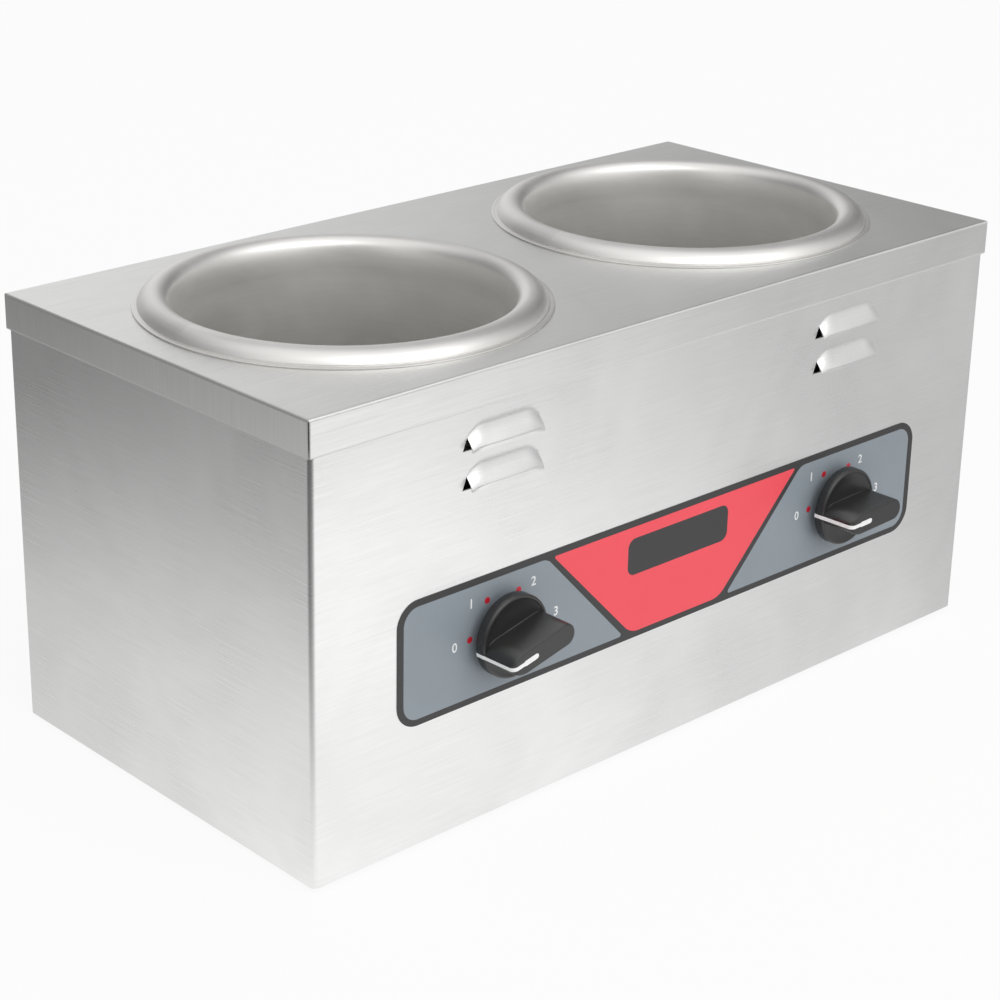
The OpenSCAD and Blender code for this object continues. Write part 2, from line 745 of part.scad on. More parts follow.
// Knob: skirt, bar grip and the hub that slides on the shaft
module knob_solid() {
    face_h = skirt_h + skirt_bevel_h;
    rotate_extrude() polygon([[0, knob_gap + overlay_t], [skirt_r, knob_gap + overlay_t],
        [skirt_r, skirt_h], [skirt_r - skirt_bevel_w, face_h], [0, face_h]]);
    intersection() {
        grip_lathe(0);
        translate([0, 0, skirt_h]) linear_extrude(knob_h) grip_plan();
    }
}

module knob(side) {
    color([0.09, 0.09, 0.09]) at_knob(side) difference() {
        knob_solid();
        difference() {
            pointer_band();
            pointer_core();
        }
        difference() {
            translate([0, 0, -1]) cylinder(r = skirt_r - 2, h = skirt_h);
            translate([0, 0, hub_from]) cylinder(r = shaft_r + 3, h = skirt_h);
        }
        difference() {
            translate([0, 0, -1]) cylinder(r = shaft_r + running_gap, h = shaft_front + 1.3);
            translate([-shaft_r - 1, -shaft_r - 2, flat_from + 0.5])
                cube([2 * shaft_r + 2, shaft_r + 2 - shaft_flat - spring_t - running_gap, knob_h]);
        }
    }
}

module pointer(side) {
    color([0.95, 0.95, 0.95]) at_knob(side) difference() {
        intersection() {
            pointer_band();
            knob_solid();
        }
        pointer_core();
    }
}

// Terminal block on the bottom pan
module terminal_block() {
    color([0.92, 0.9, 0.84]) difference() {
        translate([0, block_y, floor_z]) {
            translate([-block_w / 2, 0, 0]) cube([block_w, block_d, block_h]);
            translate([-block_screw_x - 4, block_d / 2 - 4, 0]) cube([2 * block_screw_x + 8, 8, 3]);
        }
        for (x = pole_x) {
            translate([x, block_y - 1, entry_z]) rotate([-90, 0, 0])
                cylinder(r = lead_r + 0.6, h = block_d + 2);
            translate([x, block_y + block_d / 2, floor_z + block_h - 3]) cylinder(r = 2.6, h = 4);
        }
        for (x = [-1, 1]) translate([x * block_screw_x, block_y + block_d / 2, floor_z - 1])
            cylinder(r = small_shank + hole_gap, h = 5);
    }
}

// Pole screws of the terminal block and the two screws that hold it
module terminal_screws() {
    color([0.8, 0.66, 0.32]) {
        for (x = pole_x) translate([x, block_y + block_d / 2, floor_z + block_h - 3])
            difference() {
                cylinder(r = 2.5, h = 2.2);
                translate([-3, -0.4, 1.4]) cube([6, 0.8, 1]);
            }
        for (x = [-1, 1]) translate([x * block_screw_x, block_y + block_d / 2, floor_z + 3])
            screw(small_head, small_shank, 3 + sheet + 0.6);
    }
}

// Earth stud of the base, with its two nuts
module earth_stud() {
    color([0.8, 0.66, 0.32]) translate([earth_x, earth_y, pan_z]) {
        translate([0, 0, -1.6]) cylinder(r = 3.6, h = 1.6);
        cylinder(r = 2, h = 13);
        translate([0, 0, sheet]) cylinder(r = 4.04, h = 3, $fn = 6);
        translate([0, 0, sheet + 5]) cylinder(r = 4.04, h = 3, $fn = 6);
    }
}

// Cord gland in the rear panel: thread, hexagon, body and domed cap
module cord_gland() {
    hex_t = 5;
    cap_r = gland_r + 2.6;
    dome = 4;
    color([0.12, 0.12, 0.12]) translate([0, flange_rear_y, base_z + gland_z]) rotate([-90, 0, 0])
        difference() {
            union() {
                translate([0, 0, -sheet - 9]) cylinder(r = gland_r, h = sheet + 9 + eps);
                cylinder(r = (gland_r + 3) / cos(30), h = hex_t, $fn = 6);
                translate([0, 0, hex_t - eps]) rotate_extrude() {
                    square([cap_r, gland_out - hex_t - dome + eps]);
                    square([cap_r - dome, gland_out - hex_t + eps]);
                    translate([cap_r - dome, gland_out - hex_t - dome + eps]) circle(dome);
                }
            }
            translate([0, 0, -sheet - 10]) cylinder(r = gland_bore_r, h = gland_out + sheet + 12);
        }
}

module gland_nut() {
    color([0.14, 0.14, 0.14]) translate([0, rear_in_y - 5, base_z + gland_z]) rotate([-90, 0, 0])
        hex_nut(2 * gland_r + 5, 5, gland_r + thread_gap);
}

// A lead of eight sides along its points, mitred where it turns
module lead(points) {
    sides = 8;
    n = len(points);
    function unit(v) = v / norm(v);
    function run(i) = unit(points[i + 1] - points[i]);
    function normal_at(i) = i == 0 ? run(0) : i == n - 1 ? run(n - 2) : unit(run(i - 1) + run(i));
    function slide(p, d, q, m) = p + d * (((q - p) * m) / (d * m));
    function start_ring() = [for (k = [0:sides - 1])
        let (d = run(0), a = abs(d[2]) > 0.9 ? [1, 0, 0] : [0, 0, 1],
            u = unit(cross(d, a)), v = cross(d, u), t = 360 * (k + 0.5) / sides)
        points[0] + lead_r * (cos(t) * u + sin(t) * v)];
    function rings(i, ring) = i == n ? [] : concat([ring],
        i == n - 1 ? [] : rings(i + 1,
            [for (p = ring) slide(p, run(i), points[i + 1], normal_at(i + 1))]));
    all = rings(0, start_ring());
    verts = [for (ring = all, p = ring) p];
    walls = [for (i = [0:n - 2], k = [0:sides - 1], h = [0, 1])
        let (a = i * sides + k, b = i * sides + (k + 1) % sides)
        h == 0 ? [a, b, b + sides] : [a, b + sides, a + sides]];
    first = [for (k = [1:sides - 2]) [0, k + 1, k]];
    last = [for (k = [1:sides - 2]) [(n - 1) * sides, (n - 1) * sides + k, (n - 1) * sides + k + 1]];
    polyhedron(points = verts, faces = concat(walls, first, last), convexity = 6);
}

outer_y = outer_ring_r * cos(asin(cold_end_gap / 2 / outer_ring_r));
inner_y = inner_ring_r * cos(asin(cold_end_gap / 2 / inner_ring_r));
near_x = well_x - cold_end_gap / 2;
far_x = well_x + cold_end_gap / 2;
low_z = floor_z + 4;
mid_z = floor_z + 8.5;
high_z = floor_z + 13;
under_tabs_z = cutout_tab_z - 4;
shield_lane = shield_front_y + 22;
lane_x = [22, 28, 34];
cross_y = shield_lane - 6;
rear_lane = block_y - 5;

// Leads of one side, drawn for the right: both elements to the heat switch, one to the terminals
module heater_leads(side) {
    color([0.85, 0.2, 0.15]) mirror([side < 0 ? 1 : 0, 0, 0]) {
        lead([[near_x, outer_y, pin_z], [near_x, outer_y, low_z], [lane_x[0], outer_y, low_z],
            [lane_x[0], tab_y, low_z], [control_x + tab_x[2], tab_y, low_z],
            [control_x + tab_x[2], tab_y, tab_z]]);
        lead([[near_x, inner_y, pin_z], [near_x, inner_y, mid_z], [lane_x[1], inner_y, mid_z],
            [lane_x[1], tab_y, mid_z], [control_x + tab_x[1], tab_y, mid_z],
            [control_x + tab_x[1], tab_y, tab_z]]);
        lead([[far_x, inner_y, pin_z], [far_x, inner_y, mid_z], [far_x, outer_y - 9, mid_z],
            [pole_x[4], outer_y - 9, mid_z], [pole_x[4], rear_lane - 3, mid_z],
            [pole_x[4], rear_lane - 3, entry_z], [pole_x[4], block_y + 6, entry_z]]);
    }
}

// Leads of one side, drawn for the right: terminals to the outer element and by way of the cut-out
module supply_leads(side) {
    color([0.15, 0.15, 0.16]) mirror([side < 0 ? 1 : 0, 0, 0]) {
        lead([[far_x, outer_y, pin_z], [far_x, outer_y, entry_z], [far_x, rear_lane, entry_z],
            [pole_x[5], rear_lane, entry_z], [pole_x[5], block_y + 6, entry_z]]);
        lead([[well_x + cutout_tab_x, -cutout_y, cutout_tab_z],
            [well_x + cutout_tab_x, -cutout_y, under_tabs_z],
            [well_x + cutout_tab_x, cross_y, under_tabs_z],
            [pole_x[3], cross_y, under_tabs_z], [pole_x[3], rear_lane - 6, under_tabs_z],
            [pole_x[3], rear_lane - 6, entry_z], [pole_x[3], block_y + 6, entry_z]]);
        lead([[well_x - cutout_tab_x, -cutout_y, cutout_tab_z],
            [well_x - cutout_tab_x, -cutout_y, under_tabs_z],
            [well_x - cutout_tab_x, shield_lane, under_tabs_z],
            [well_x - cutout_tab_x, shield_lane, high_z], [lane_x[2], shield_lane, high_z],
            [lane_x[2], tab_y, high_z], [control_x + tab_x[0], tab_y, high_z],
            [control_x + tab_x[0], tab_y, tab_z]]);
    }
}

// One rubber foot, counterbored for its screw
module foot(p) {
    h = pan_z;
    color([0.08, 0.08, 0.08]) translate([p[0], p[1], 0]) difference() {
        rotate_extrude() {
            square([foot_r - 1, h]);
            translate([0, 1]) square([foot_r, h - 1]);
            translate([foot_r - 1, 1]) circle(1);
        }
        translate([0, 0, -1]) cylinder(r = small_head[0] + 0.8, h = h - 1.4 + 1);
        translate([0, 0, -1]) cylinder(r = small_shank + hole_gap, h = h + 2);
    }
}

module foot_screws() {
    color([0.75, 0.75, 0.76]) for (p = foot_places) translate([p[0], p[1], pan_z - 1.4])
        rotate([180, 0, 0]) screw(small_head, small_shank, 1.4 + sheet + 2);
}

module deck_screws() {
    color([0.78, 0.78, 0.79]) for (x = deck_screw_x)
        translate([x, body_d / 2 + deck_gap + sheet, deck_screw_z]) rotate([-90, 0, 0])
            screw(small_head, small_shank, 3 * sheet + deck_gap + 2);
}

module rear_screws() {
    color([0.78, 0.78, 0.79]) rear_screw_places() screw(small_head, small_shank, 2 * sheet + 2);
}

module bottom_screws() {
    color([0.78, 0.78, 0.79]) {
        bottom_screw_places(false) screw(small_head, small_shank, 2 * sheet + 2);
        bottom_screw_places(true) screw(small_head, small_shank, 2 * sheet + 2);
    }
}

top_deck();
wrapper();
rear_panel();
bottom_pan();
well(-1);  // well_left
well(1);  // well_right
rim_gasket(-1);  // rim_gasket_left
rim_gasket(1);  // rim_gasket_right
clamp_ring(-1);  // clamp_ring_left
clamp_ring(1);  // clamp_ring_right
clamp_screws();
heat_plate(-1);  // heat_plate_left
heat_plate(1);  // heat_plate_right
element(-1, outer_ring_r);  // outer_element_left
element(1, outer_ring_r);  // outer_element_right
element(-1, inner_ring_r);  // inner_element_left
element(1, inner_ring_r);  // inner_element_right
element_bar(-1);  // element_bar_left
element_bar(1);  // element_bar_right
element_nuts();
cutout(-1);  // cutout_left
cutout(1);  // cutout_right
cutout_screws();
insulation(-1);  // insulation_left
insulation(1);  // insulation_right
heat_shield(-1);  // heat_shield_left
heat_shield(1);  // heat_shield_right
shield_screws();
control_overlay();
heat_switch(-1);  // heat_switch_left
heat_switch(1);  // heat_switch_right
switch_tabs();
switch_nut(-1);  // switch_nut_left
switch_nut(1);  // switch_nut_right
shaft(-1);  // shaft_left
shaft(1);  // shaft_right
knob(-1);  // knob_left
knob(1);  // knob_right
knob_spring(-1);  // knob_spring_left
knob_spring(1);  // knob_spring_right
pointer(-1);  // pointer_left
pointer(1);  // pointer_right
terminal_block();
terminal_screws();
earth_stud();
cord_gland();
gland_nut();
heater_leads(-1);  // heater_leads_left
heater_leads(1);  // heater_leads_right
supply_leads(-1);  // supply_leads_left
supply_leads(1);  // supply_leads_right
foot(foot_places[0]);  // foot_front_left
foot(foot_places[1]);  // foot_rear_left
foot(foot_places[2]);  // foot_front_right
foot(foot_places[3]);  // foot_rear_right
foot_screws();
deck_screws();
rear_screws();
bottom_screws();
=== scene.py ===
# %% [markdown]
# # A countertop topping warmer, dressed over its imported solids
# The part comes from its CAD source as a fixed frame of named nodes. This lesson gives the pieces
# that show a finer shape, gives every piece a finish, and lights them as plain studio ware.
# Blender works in metres. Values that come from the source are written in millimetres and turned
# into metres by one helper, so they can be read against a drawing.

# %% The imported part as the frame
import json
import math

import bmesh
import bpy
import numpy as np
from mathutils import Matrix, Vector


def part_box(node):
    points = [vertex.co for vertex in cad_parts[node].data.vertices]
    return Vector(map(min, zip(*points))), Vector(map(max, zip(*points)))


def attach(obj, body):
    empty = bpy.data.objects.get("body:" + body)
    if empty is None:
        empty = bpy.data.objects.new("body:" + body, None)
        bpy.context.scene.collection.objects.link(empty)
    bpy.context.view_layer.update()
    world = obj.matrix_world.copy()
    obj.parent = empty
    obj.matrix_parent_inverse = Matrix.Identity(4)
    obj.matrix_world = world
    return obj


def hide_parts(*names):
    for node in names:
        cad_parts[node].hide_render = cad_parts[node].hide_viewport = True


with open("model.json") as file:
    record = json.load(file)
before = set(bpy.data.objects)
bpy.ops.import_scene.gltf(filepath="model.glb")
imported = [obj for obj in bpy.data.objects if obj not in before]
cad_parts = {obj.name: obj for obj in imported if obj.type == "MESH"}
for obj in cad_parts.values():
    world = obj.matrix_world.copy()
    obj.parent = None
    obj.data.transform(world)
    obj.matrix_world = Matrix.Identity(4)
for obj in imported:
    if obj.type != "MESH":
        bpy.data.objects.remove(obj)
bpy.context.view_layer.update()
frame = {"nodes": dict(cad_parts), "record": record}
nodes = frame["nodes"]


def mm(*values):
    """Millimetres to metres, one number or a tuple."""
    made = tuple(v * 0.001 for v in values)
    return made[0] if len(made) == 1 else made


def cos_deg(angle):
    return math.cos(math.radians(angle))


def sin_deg(angle):
    return math.sin(math.radians(angle))


def link(name, data):
    """A new object that shows the data in the scene."""
    obj = bpy.data.objects.new(name, data)
    bpy.context.scene.collection.objects.link(obj)
    return obj


# %% [markdown]
# ## The camera
# The photograph was taken from the front left and a little above, with a long lens. A camera was
# fitted to the corners of the body, to the rims of both wells and to the marks round the knobs,
# and its place, direction and focal length are used here as they came out. A small lens shift
# stands for the way the picture was cropped.

# %% The camera from the fit
FOCAL_PX, PICTURE_PX, SENSOR_MM = 2415.29, 1000, 36
YAW, PITCH, ROLL = 0.720802, 0.368963, 0.003654
eye = Vector(mm(-864.81, -887.18, 606.24))
forward = Vector((math.sin(YAW) * math.cos(PITCH), math.cos(YAW) * math.cos(PITCH),
                  -math.sin(PITCH)))
level = Vector((math.cos(YAW), -math.sin(YAW), 0))
upward = level.cross(forward)
cam_right = level * math.cos(ROLL) + upward * math.sin(ROLL)
cam_up = upward * math.cos(ROLL) - level * math.sin(ROLL)
lens_data = bpy.data.cameras.new("studio_camera")
lens_data.sensor_width = SENSOR_MM
lens_data.lens = FOCAL_PX * SENSOR_MM / PICTURE_PX
lens_data.shift_x, lens_data.shift_y = 0.1, -0.05
lens_data.clip_start, lens_data.clip_end = 0.01, 50
camera = link("studio_camera", lens_data)
camera.matrix_world = Matrix(
    [[cam_right[i], cam_up[i], -forward[i], eye[i]] for i in range(3)] + [[0, 0, 0, 1]])
bpy.context.scene.camera = camera
print("lens", round(lens_data.lens, 2), "mm, eye at", [round(v, 3) for v in eye])

# %% [markdown]
# ## The sizes that the finer pieces share
# They repeat the driving sizes of the source. Only what a replaced piece needs is here.

# %% Sizes
FOOT_LIFT, BODY_W, BODY_D, DECK_TOP = mm(3, 489, 241.5, 239.5)
FRONT_Y = -BODY_D / 2
SHEET = mm(0.9)
WELL_X, WELL_R = mm(123.55, 86)
CONTROL_X, KNOB_Z, LOUVER_X = mm(125.55, 101.5, 126.55)
FILM_T = mm(0.3)
LAST_MARK = 177
REST_TURN = {"left": LAST_MARK + 16, "right": LAST_MARK + 5}
SIDES = {"left": -1, "right": 1}
WELD = 0.000002


# %% [markdown]
# ## Shader groups
# Brushed steel shows three things at once: fine streaks along the grain, slow cloudy changes
# where it was handled, and a few thin scratches. They are made once, in a group that only puts
# out values, and each steel takes from it what it needs. The grain follows the sheet, so every
# steel piece carries a UV map, in metres, whose first direction runs along the grain.

# %% Helpers that add a node and wire it
def feed(tree, node, inputs):
    """Sets or links a node's inputs, by name or number."""
    for key, value in inputs.items():
        if isinstance(value, bpy.types.NodeSocket):
            tree.links.new(value, node.inputs[key])
        else:
            node.inputs[key].default_value = value


def add(tree, kind, inputs=None, **settings):
    """A new node with its properties set and its inputs fed."""
    node = tree.nodes.new(kind)
    for key, value in settings.items():
        setattr(node, key, value)
    feed(tree, node, inputs or {})
    return node


def maths(tree, operation, *terms):
    return add(tree, "ShaderNodeMath", dict(enumerate(terms)), operation=operation).outputs[0]


def times(tree, a, b):
    return maths(tree, "MULTIPLY", a, b)


def times_plus(tree, a, b, c):
    return maths(tree, "MULTIPLY_ADD", a, b, c)


def ranged(tree, value, start, end, low=0.0, high=1.0, soft=False):
    """low at start and high at end, even or soft between them, and level outside."""
    return add(tree, "ShaderNodeMapRange", {
        "Value": value, "From Min": start, "From Max": end, "To Min": low, "To Max": high},
        interpolation_type="SMOOTHSTEP" if soft else "LINEAR").outputs[0]


def noise(tree, place, scale, detail, roughness=0.5, distortion=0.0):
    return add(tree, "ShaderNodeTexNoise", {
        "Vector": place, "Scale": scale, "Detail": detail, "Roughness": roughness,
        "Distortion": distortion}).outputs[0]


def bumped(tree, height, strength, distance, **more):
    return add(tree, "ShaderNodeBump", {
        "Height": height, "Strength": strength, "Distance": distance, **more}).outputs[0]


def object_place(tree):
    return add(tree, "ShaderNodeTexCoord").outputs["Object"]


def axes_of(tree, place):
    return add(tree, "ShaderNodeSeparateXYZ", {0: place}).outputs


def new_tree(name, kind, inputs, outputs):
    """A node group, its inputs' outputs and its output node; sockets are (name, kind, value)."""
    tree = bpy.data.node_groups.new(name, kind)
    for in_out, sockets in (("INPUT", inputs), ("OUTPUT", outputs)):
        for label, socket_kind, value in sockets:
            socket = tree.interface.new_socket(label, in_out=in_out,
                                               socket_type="NodeSocket" + socket_kind)
            if value is not None:
                socket.default_value = value
    return tree, tree.nodes.new("NodeGroupInput").outputs, tree.nodes.new("NodeGroupOutput")


# %% The grain of brushed sheet, and the skin of moulded plastic and rubber
def make_brushed_grain():
    tree, given, result = new_tree(
        "brushed_grain", "ShaderNodeTree",
        [("Vector", "Vector", None), ("Along", "Float", 14.0), ("Across", "Float", 1100.0),
         ("Cloud size", "Float", 9.0)],
        [(name, "Float", None) for name in ("Streaks", "Cloud", "Scratches")])
    place = given["Vector"]
    stretch = add(tree, "ShaderNodeCombineXYZ",
                  {"X": given["Along"], "Y": given["Across"], "Z": 1.0}).outputs[0]
    laid = add(tree, "ShaderNodeVectorMath", {0: place, 1: stretch},
               operation="MULTIPLY").outputs[0]
    tilted = add(tree, "ShaderNodeMapping", {
        "Vector": place, "Rotation": (0, 0, 0.5), "Scale": (9, 420, 1)}).outputs[0]
    streaks = noise(tree, laid, 1.0, 5.0, 0.72)
    cloud = noise(tree, place, given["Cloud size"], 3.0, 0.55, 0.6)
    thin = noise(tree, tilted, 1.0, 1.0)
    feed(tree, result, {"Streaks": ranged(tree, streaks, 0.28, 0.72),
                        "Cloud": ranged(tree, cloud, 0.3, 0.7),
                        "Scratches": ranged(tree, thin, 0.7, 0.76)})
    return tree


def make_moulded_skin():
    """Fine spark-eroded texture and slow unevenness."""
    tree, given, result = new_tree(
        "moulded_skin", "ShaderNodeTree",
        [("Vector", "Vector", None), ("Grain size", "Float", 2600.0),
         ("Wear size", "Float", 60.0)],
        [("Grain", "Float", None), ("Wear", "Float", None)])
    feed(tree, result, {"Grain": noise(tree, given["Vector"], given["Grain size"], 2.0),
                        "Wear": noise(tree, given["Vector"], given["Wear size"], 4.0, 0.6)})
    return tree


brushed_grain = make_brushed_grain()
moulded_skin = make_moulded_skin()
print("shader groups:", [g.name for g in bpy.data.node_groups])


# %% [markdown]
# ## Steels
# All sheet on this warmer is stainless, brushed along its length. Metal takes its look from what
# it mirrors, so the base colour stays a plain light grey, and the grain works mostly through
# roughness and a very low bump. The deck's flange mirrors a little more of the floor, as a flange
# does that leans by a few degrees, and a painted highlight lightens a thin band along its sheared
# lower edge, which is also duller. The wells are drawn from sheet, which stretches the grain away:
# they are smoother and warmer, painted light lifts the wall below the rim, and painted shade makes
# them darker towards the bottom.

# %% Steel with a grain
def place_group(tree, group, place, **values):
    """Adds a shader group and gives its outputs."""
    inputs = {name.replace("_", " "): value for name, value in values.items()}
    return add(tree, "ShaderNodeGroup", {"Vector": place, **inputs}, node_tree=group).outputs


def grain_place(tree):
    return add(tree, "ShaderNodeUVMap", uv_map="grain").outputs[0]


def mix_colour(tree, share, dark, light):
    return add(tree, "ShaderNodeMix", {0: share, 6: (*dark, 1), 7: (*light, 1)},
               data_type="RGBA").outputs[2]


def mixed_value(tree, terms, start):
    """start plus each value times its share."""
    total = start
    for value, share in terms:
        if share:
            total = times_plus(tree, value, share, total)
    return total


def clamped(tree, value):
    return add(tree, "ShaderNodeClamp", {0: value}).outputs[0]


def new_material(name):
    material = bpy.data.materials.new(name)
    material.use_nodes = True
    return material, material.node_tree, material.node_tree.nodes["Principled BSDF"]


def make_steel(name, dark, light, roughness, streak=0.5, cloud=0.5, bump=0.06, aniso=0.5,
               along=14.0, across=1100.0, glint_edge_z=None):
    """Brushed sheet. Only the deck gives the last argument: its flange's lower edge height, for a
    painted highlight.
    """
    material, tree, skin = new_material(name)
    grain = place_group(tree, brushed_grain, grain_place(tree), Along=along, Across=across)
    tones = [(grain["Streaks"], streak), (grain["Cloud"], cloud), (grain["Scratches"], -0.12)]
    dulls = [(grain["Streaks"], -0.07), (grain["Cloud"], 0.06), (grain["Scratches"], 0.05)]
    low = bumped(tree, grain["Streaks"], bump, 0.0004)
    if glint_edge_z is not None:
        height = axes_of(tree, object_place(tree))["Z"]
        low = bumped(tree, times(tree, height, FLANGE_LEAN), 1.0, 1.0, Normal=low)
        # painted highlight: a thin band along the flange's lower edge gets a lighter colour, and a
        # duller finish
        painted_glint_band = ranged(tree, height, glint_edge_z + mm(0.5), glint_edge_z + mm(0.9), 1.0, 0.0)
        tones.append((painted_glint_band, 0.9))
        dulls.append((painted_glint_band, 0.25))
    share = clamped(tree, mixed_value(tree, tones, 0.0))
    feed(tree, skin, {"Base Color": mix_colour(tree, share, dark, light), "Metallic": 1.0,
                      "Roughness": mixed_value(tree, dulls, roughness), "Normal": low})
    if aniso:
        tangent = add(tree, "ShaderNodeTangent", direction_type="UV_MAP", uv_map="grain")
        feed(tree, skin, {"Tangent": tangent.outputs[0], "Anisotropic": aniso})
    return material


FLANGE_LEAN = math.tan(math.radians(4))
flange_low = min(v.co.z for v in nodes["top_deck"].data.vertices)
deck_steel = make_steel("deck_steel", (0.76, 0.76, 0.75), (0.92, 0.92, 0.91), 0.32, streak=0.55,
                        bump=0.09, along=20.0, glint_edge_z=flange_low)
body_steel = make_steel("body_steel", (0.80, 0.80, 0.795), (0.97, 0.97, 0.965), 0.31,
                        streak=0.45, cloud=0.75, bump=0.08, along=22.0, across=1300.0)
inner_steel = make_steel("inner_steel", (0.52, 0.52, 0.51), (0.66, 0.66, 0.65), 0.42, bump=0.03)
plated_steel = make_steel("plated_steel", (0.50, 0.51, 0.53), (0.66, 0.67, 0.68), 0.34,
                          streak=0.2, bump=0.02, aniso=0.0)
print("steels:", deck_steel.name, body_steel.name, inner_steel.name, plated_steel.name)


# %% Drawn steel for the wells
def make_drawn_steel():
    """Satin steel with faint rings round each well, duller inside; painted light lifts the wall
    and painted shade darkens it far down.
    """
    material, tree, skin = new_material("drawn_steel")
    grain = place_group(tree, brushed_grain, grain_place(tree), Along=30.0, Across=500.0,
                        Cloud_size=16.0)
    height = axes_of(tree, object_place(tree))["Z"]
    # duller below the rim, and painted light: a lighter colour there too
    wall_painted_light_and_dull = ranged(tree, height, DECK_TOP + mm(1), DECK_TOP - mm(16))
    # painted shade: the colour darkens far down the well
    painted_depth_shade = ranged(tree, height, DECK_TOP - mm(14), DECK_TOP - mm(95))
    share = clamped(tree, mixed_value(tree, [
        (grain["Streaks"], 0.15), (grain["Cloud"], 0.3), (wall_painted_light_and_dull, 0.3), (painted_depth_shade, -0.70)], 0.38))
    rough = mixed_value(tree, [(grain["Streaks"], 0.05), (grain["Cloud"], 0.05),
                               (wall_painted_light_and_dull, 0.10)], 0.36)
    feed(tree, skin, {
        "Base Color": mix_colour(tree, share, (0.64, 0.63, 0.61), (0.96, 0.95, 0.93)),
        "Roughness": rough, "Metallic": 1.0,
        "Normal": bumped(tree, grain["Streaks"], 0.02, 0.0003)})
    return material


drawn_steel = make_drawn_steel()


# %% [markdown]
# ## Plastics, rubber and the other finishes
# The knobs are black moulded plastic with a fine satin skin, the gland is nylon, the feet rubber.
# The heaters and their boards are only seen through the vents, but they get their finish as well.

# %% Moulded plastic and its kin
def make_moulded(name, dark, light, roughness, bump=0.1, grain_size=2600.0, wear_size=60.0,
                 metallic=0.0, specular=0.5, worn=0.12, grained=0.06, bump_depth=0.0002):
    """A plain finish. Its roughness is the middle one, and wear and grain move it about that."""
    material, tree, skin = new_material(name)
    grain = place_group(tree, moulded_skin, object_place(tree), Grain_size=grain_size,
                        Wear_size=wear_size)
    rough = mixed_value(tree, [(grain["Wear"], worn), (grain["Grain"], grained)],
                        roughness - (worn + grained) / 2)
    feed(tree, skin, {"Base Color": mix_colour(tree, grain["Wear"], dark, light),
                      "Roughness": rough, "Metallic": metallic,
                      "Normal": bumped(tree, grain["Grain"], bump, bump_depth),
                      "Specular IOR Level": specular})
    return material


MOULDED = {
    "rim_gasket": ("silicone_red", (0.36, 0.09, 0.06), (0.46, 0.14, 0.10), 0.55),
    "screw_steel": ("nickel_plate", (0.62, 0.62, 0.62), (0.74, 0.74, 0.73), 0.30,
                    dict(bump=0.03, metallic=1.0)),
    "heat_aluminium": ("cast_aluminium", (0.56, 0.57, 0.58), (0.70, 0.71, 0.72), 0.45,
                       dict(bump=0.25, grain_size=900.0, metallic=1.0)),
    "element_sheath": ("annealed_sheath", (0.13, 0.11, 0.10), (0.26, 0.21, 0.17), 0.48,
                       dict(wear_size=90.0, metallic=1.0)),
    "cutout_ceramic": ("fired_body", (0.09, 0.07, 0.06), (0.15, 0.12, 0.10), 0.5),
    "insulation_board": ("fibre_board", (0.70, 0.67, 0.58), (0.82, 0.80, 0.72), 0.9,
                         dict(bump=0.6, grain_size=700.0)),
    "switch_plastic": ("switch_body", (0.030, 0.028, 0.028), (0.05, 0.045, 0.045), 0.45),
    "contact_brass": ("bright_brass", (0.60, 0.42, 0.15), (0.74, 0.55, 0.24), 0.3,
                      dict(bump=0.03, metallic=1.0)),
    "knob_plastic": ("knob_black", (0.011, 0.011, 0.011), (0.018, 0.018, 0.0175), 0.35,
                     dict(bump=0.12, specular=0.75)),
    "pointer_white": ("pointer_paint", (0.93, 0.93, 0.93), (0.97, 0.97, 0.97), 0.45,
                      dict(bump=0.03)),
    "shaft_steel": ("turned_shaft", (0.56, 0.56, 0.56), (0.70, 0.70, 0.70), 0.3,
                    dict(bump=0.05, metallic=1.0)),
    "block_plastic": ("cream_block", (0.72, 0.67, 0.54), (0.80, 0.76, 0.65), 0.45),
    "gland_nylon": ("gland_nylon", (0.016, 0.016, 0.017), (0.028, 0.028, 0.029), 0.40),
    "lead_red": ("lead_red", (0.42, 0.03, 0.02), (0.52, 0.06, 0.04), 0.5),
    "lead_black": ("lead_black", (0.016, 0.016, 0.017), (0.028, 0.028, 0.03), 0.5),
    "foot_rubber": ("foot_rubber", (0.012, 0.012, 0.012), (0.022, 0.021, 0.02), 0.65,
                    dict(bump=0.2, grain_size=1500.0)),
}
finishes = {slot: make_moulded(*row[:4], **(row[4] if len(row) > 4 else {}))
            for slot, row in MOULDED.items()}
finishes |= {"deck_steel": deck_steel, "body_steel": body_steel, "inner_steel": inner_steel,
             "well_steel": drawn_steel, "zinc_steel": plated_steel}
slot_of = {row["node"]: row["material_slot"] for row in frame["record"]["subparts"]}
print("finishes:", len(finishes))


# %% [markdown]
# ## Pieces from the frame, with even shading
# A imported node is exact, but it arrives as loose flat triangles. Where it shows, a merged copy
# takes its place: its corners are joined, edges sharper than a set angle stay sharp, and the
# Weighted Normal modifier keeps the large flats flat beside their small bends. The same helper
# lays the grain map: each face looks up two directions by the way that it faces.

# %% Merge, shade and lay the grain
FLAT_GRAIN = {0: (2, 1), 1: (0, 2), 2: (0, 1)}
FAIR_ANGLE = 32


def lay_grain(mesh, rule=FLAT_GRAIN):
    """Writes the grain map: for faces along each axis, which coordinate runs along and across."""
    layer = mesh.uv_layers.get("grain") or mesh.uv_layers.new(name="grain")
    for face in mesh.polygons:
        facing = max(range(3), key=lambda i: abs(face.normal[i]))
        along, across = rule[facing]
        for loop in face.loop_indices:
            co = mesh.vertices[mesh.loops[loop].vertex_index].co
            layer.data[loop].uv = (co[along], co[across])


def set_sharp(bm, angle):
    for face in bm.faces:
        face.smooth = True
    for edge in bm.edges:
        edge.smooth = (len(edge.link_faces) == 2
                       and edge.calc_face_angle(0.0) < math.radians(angle))


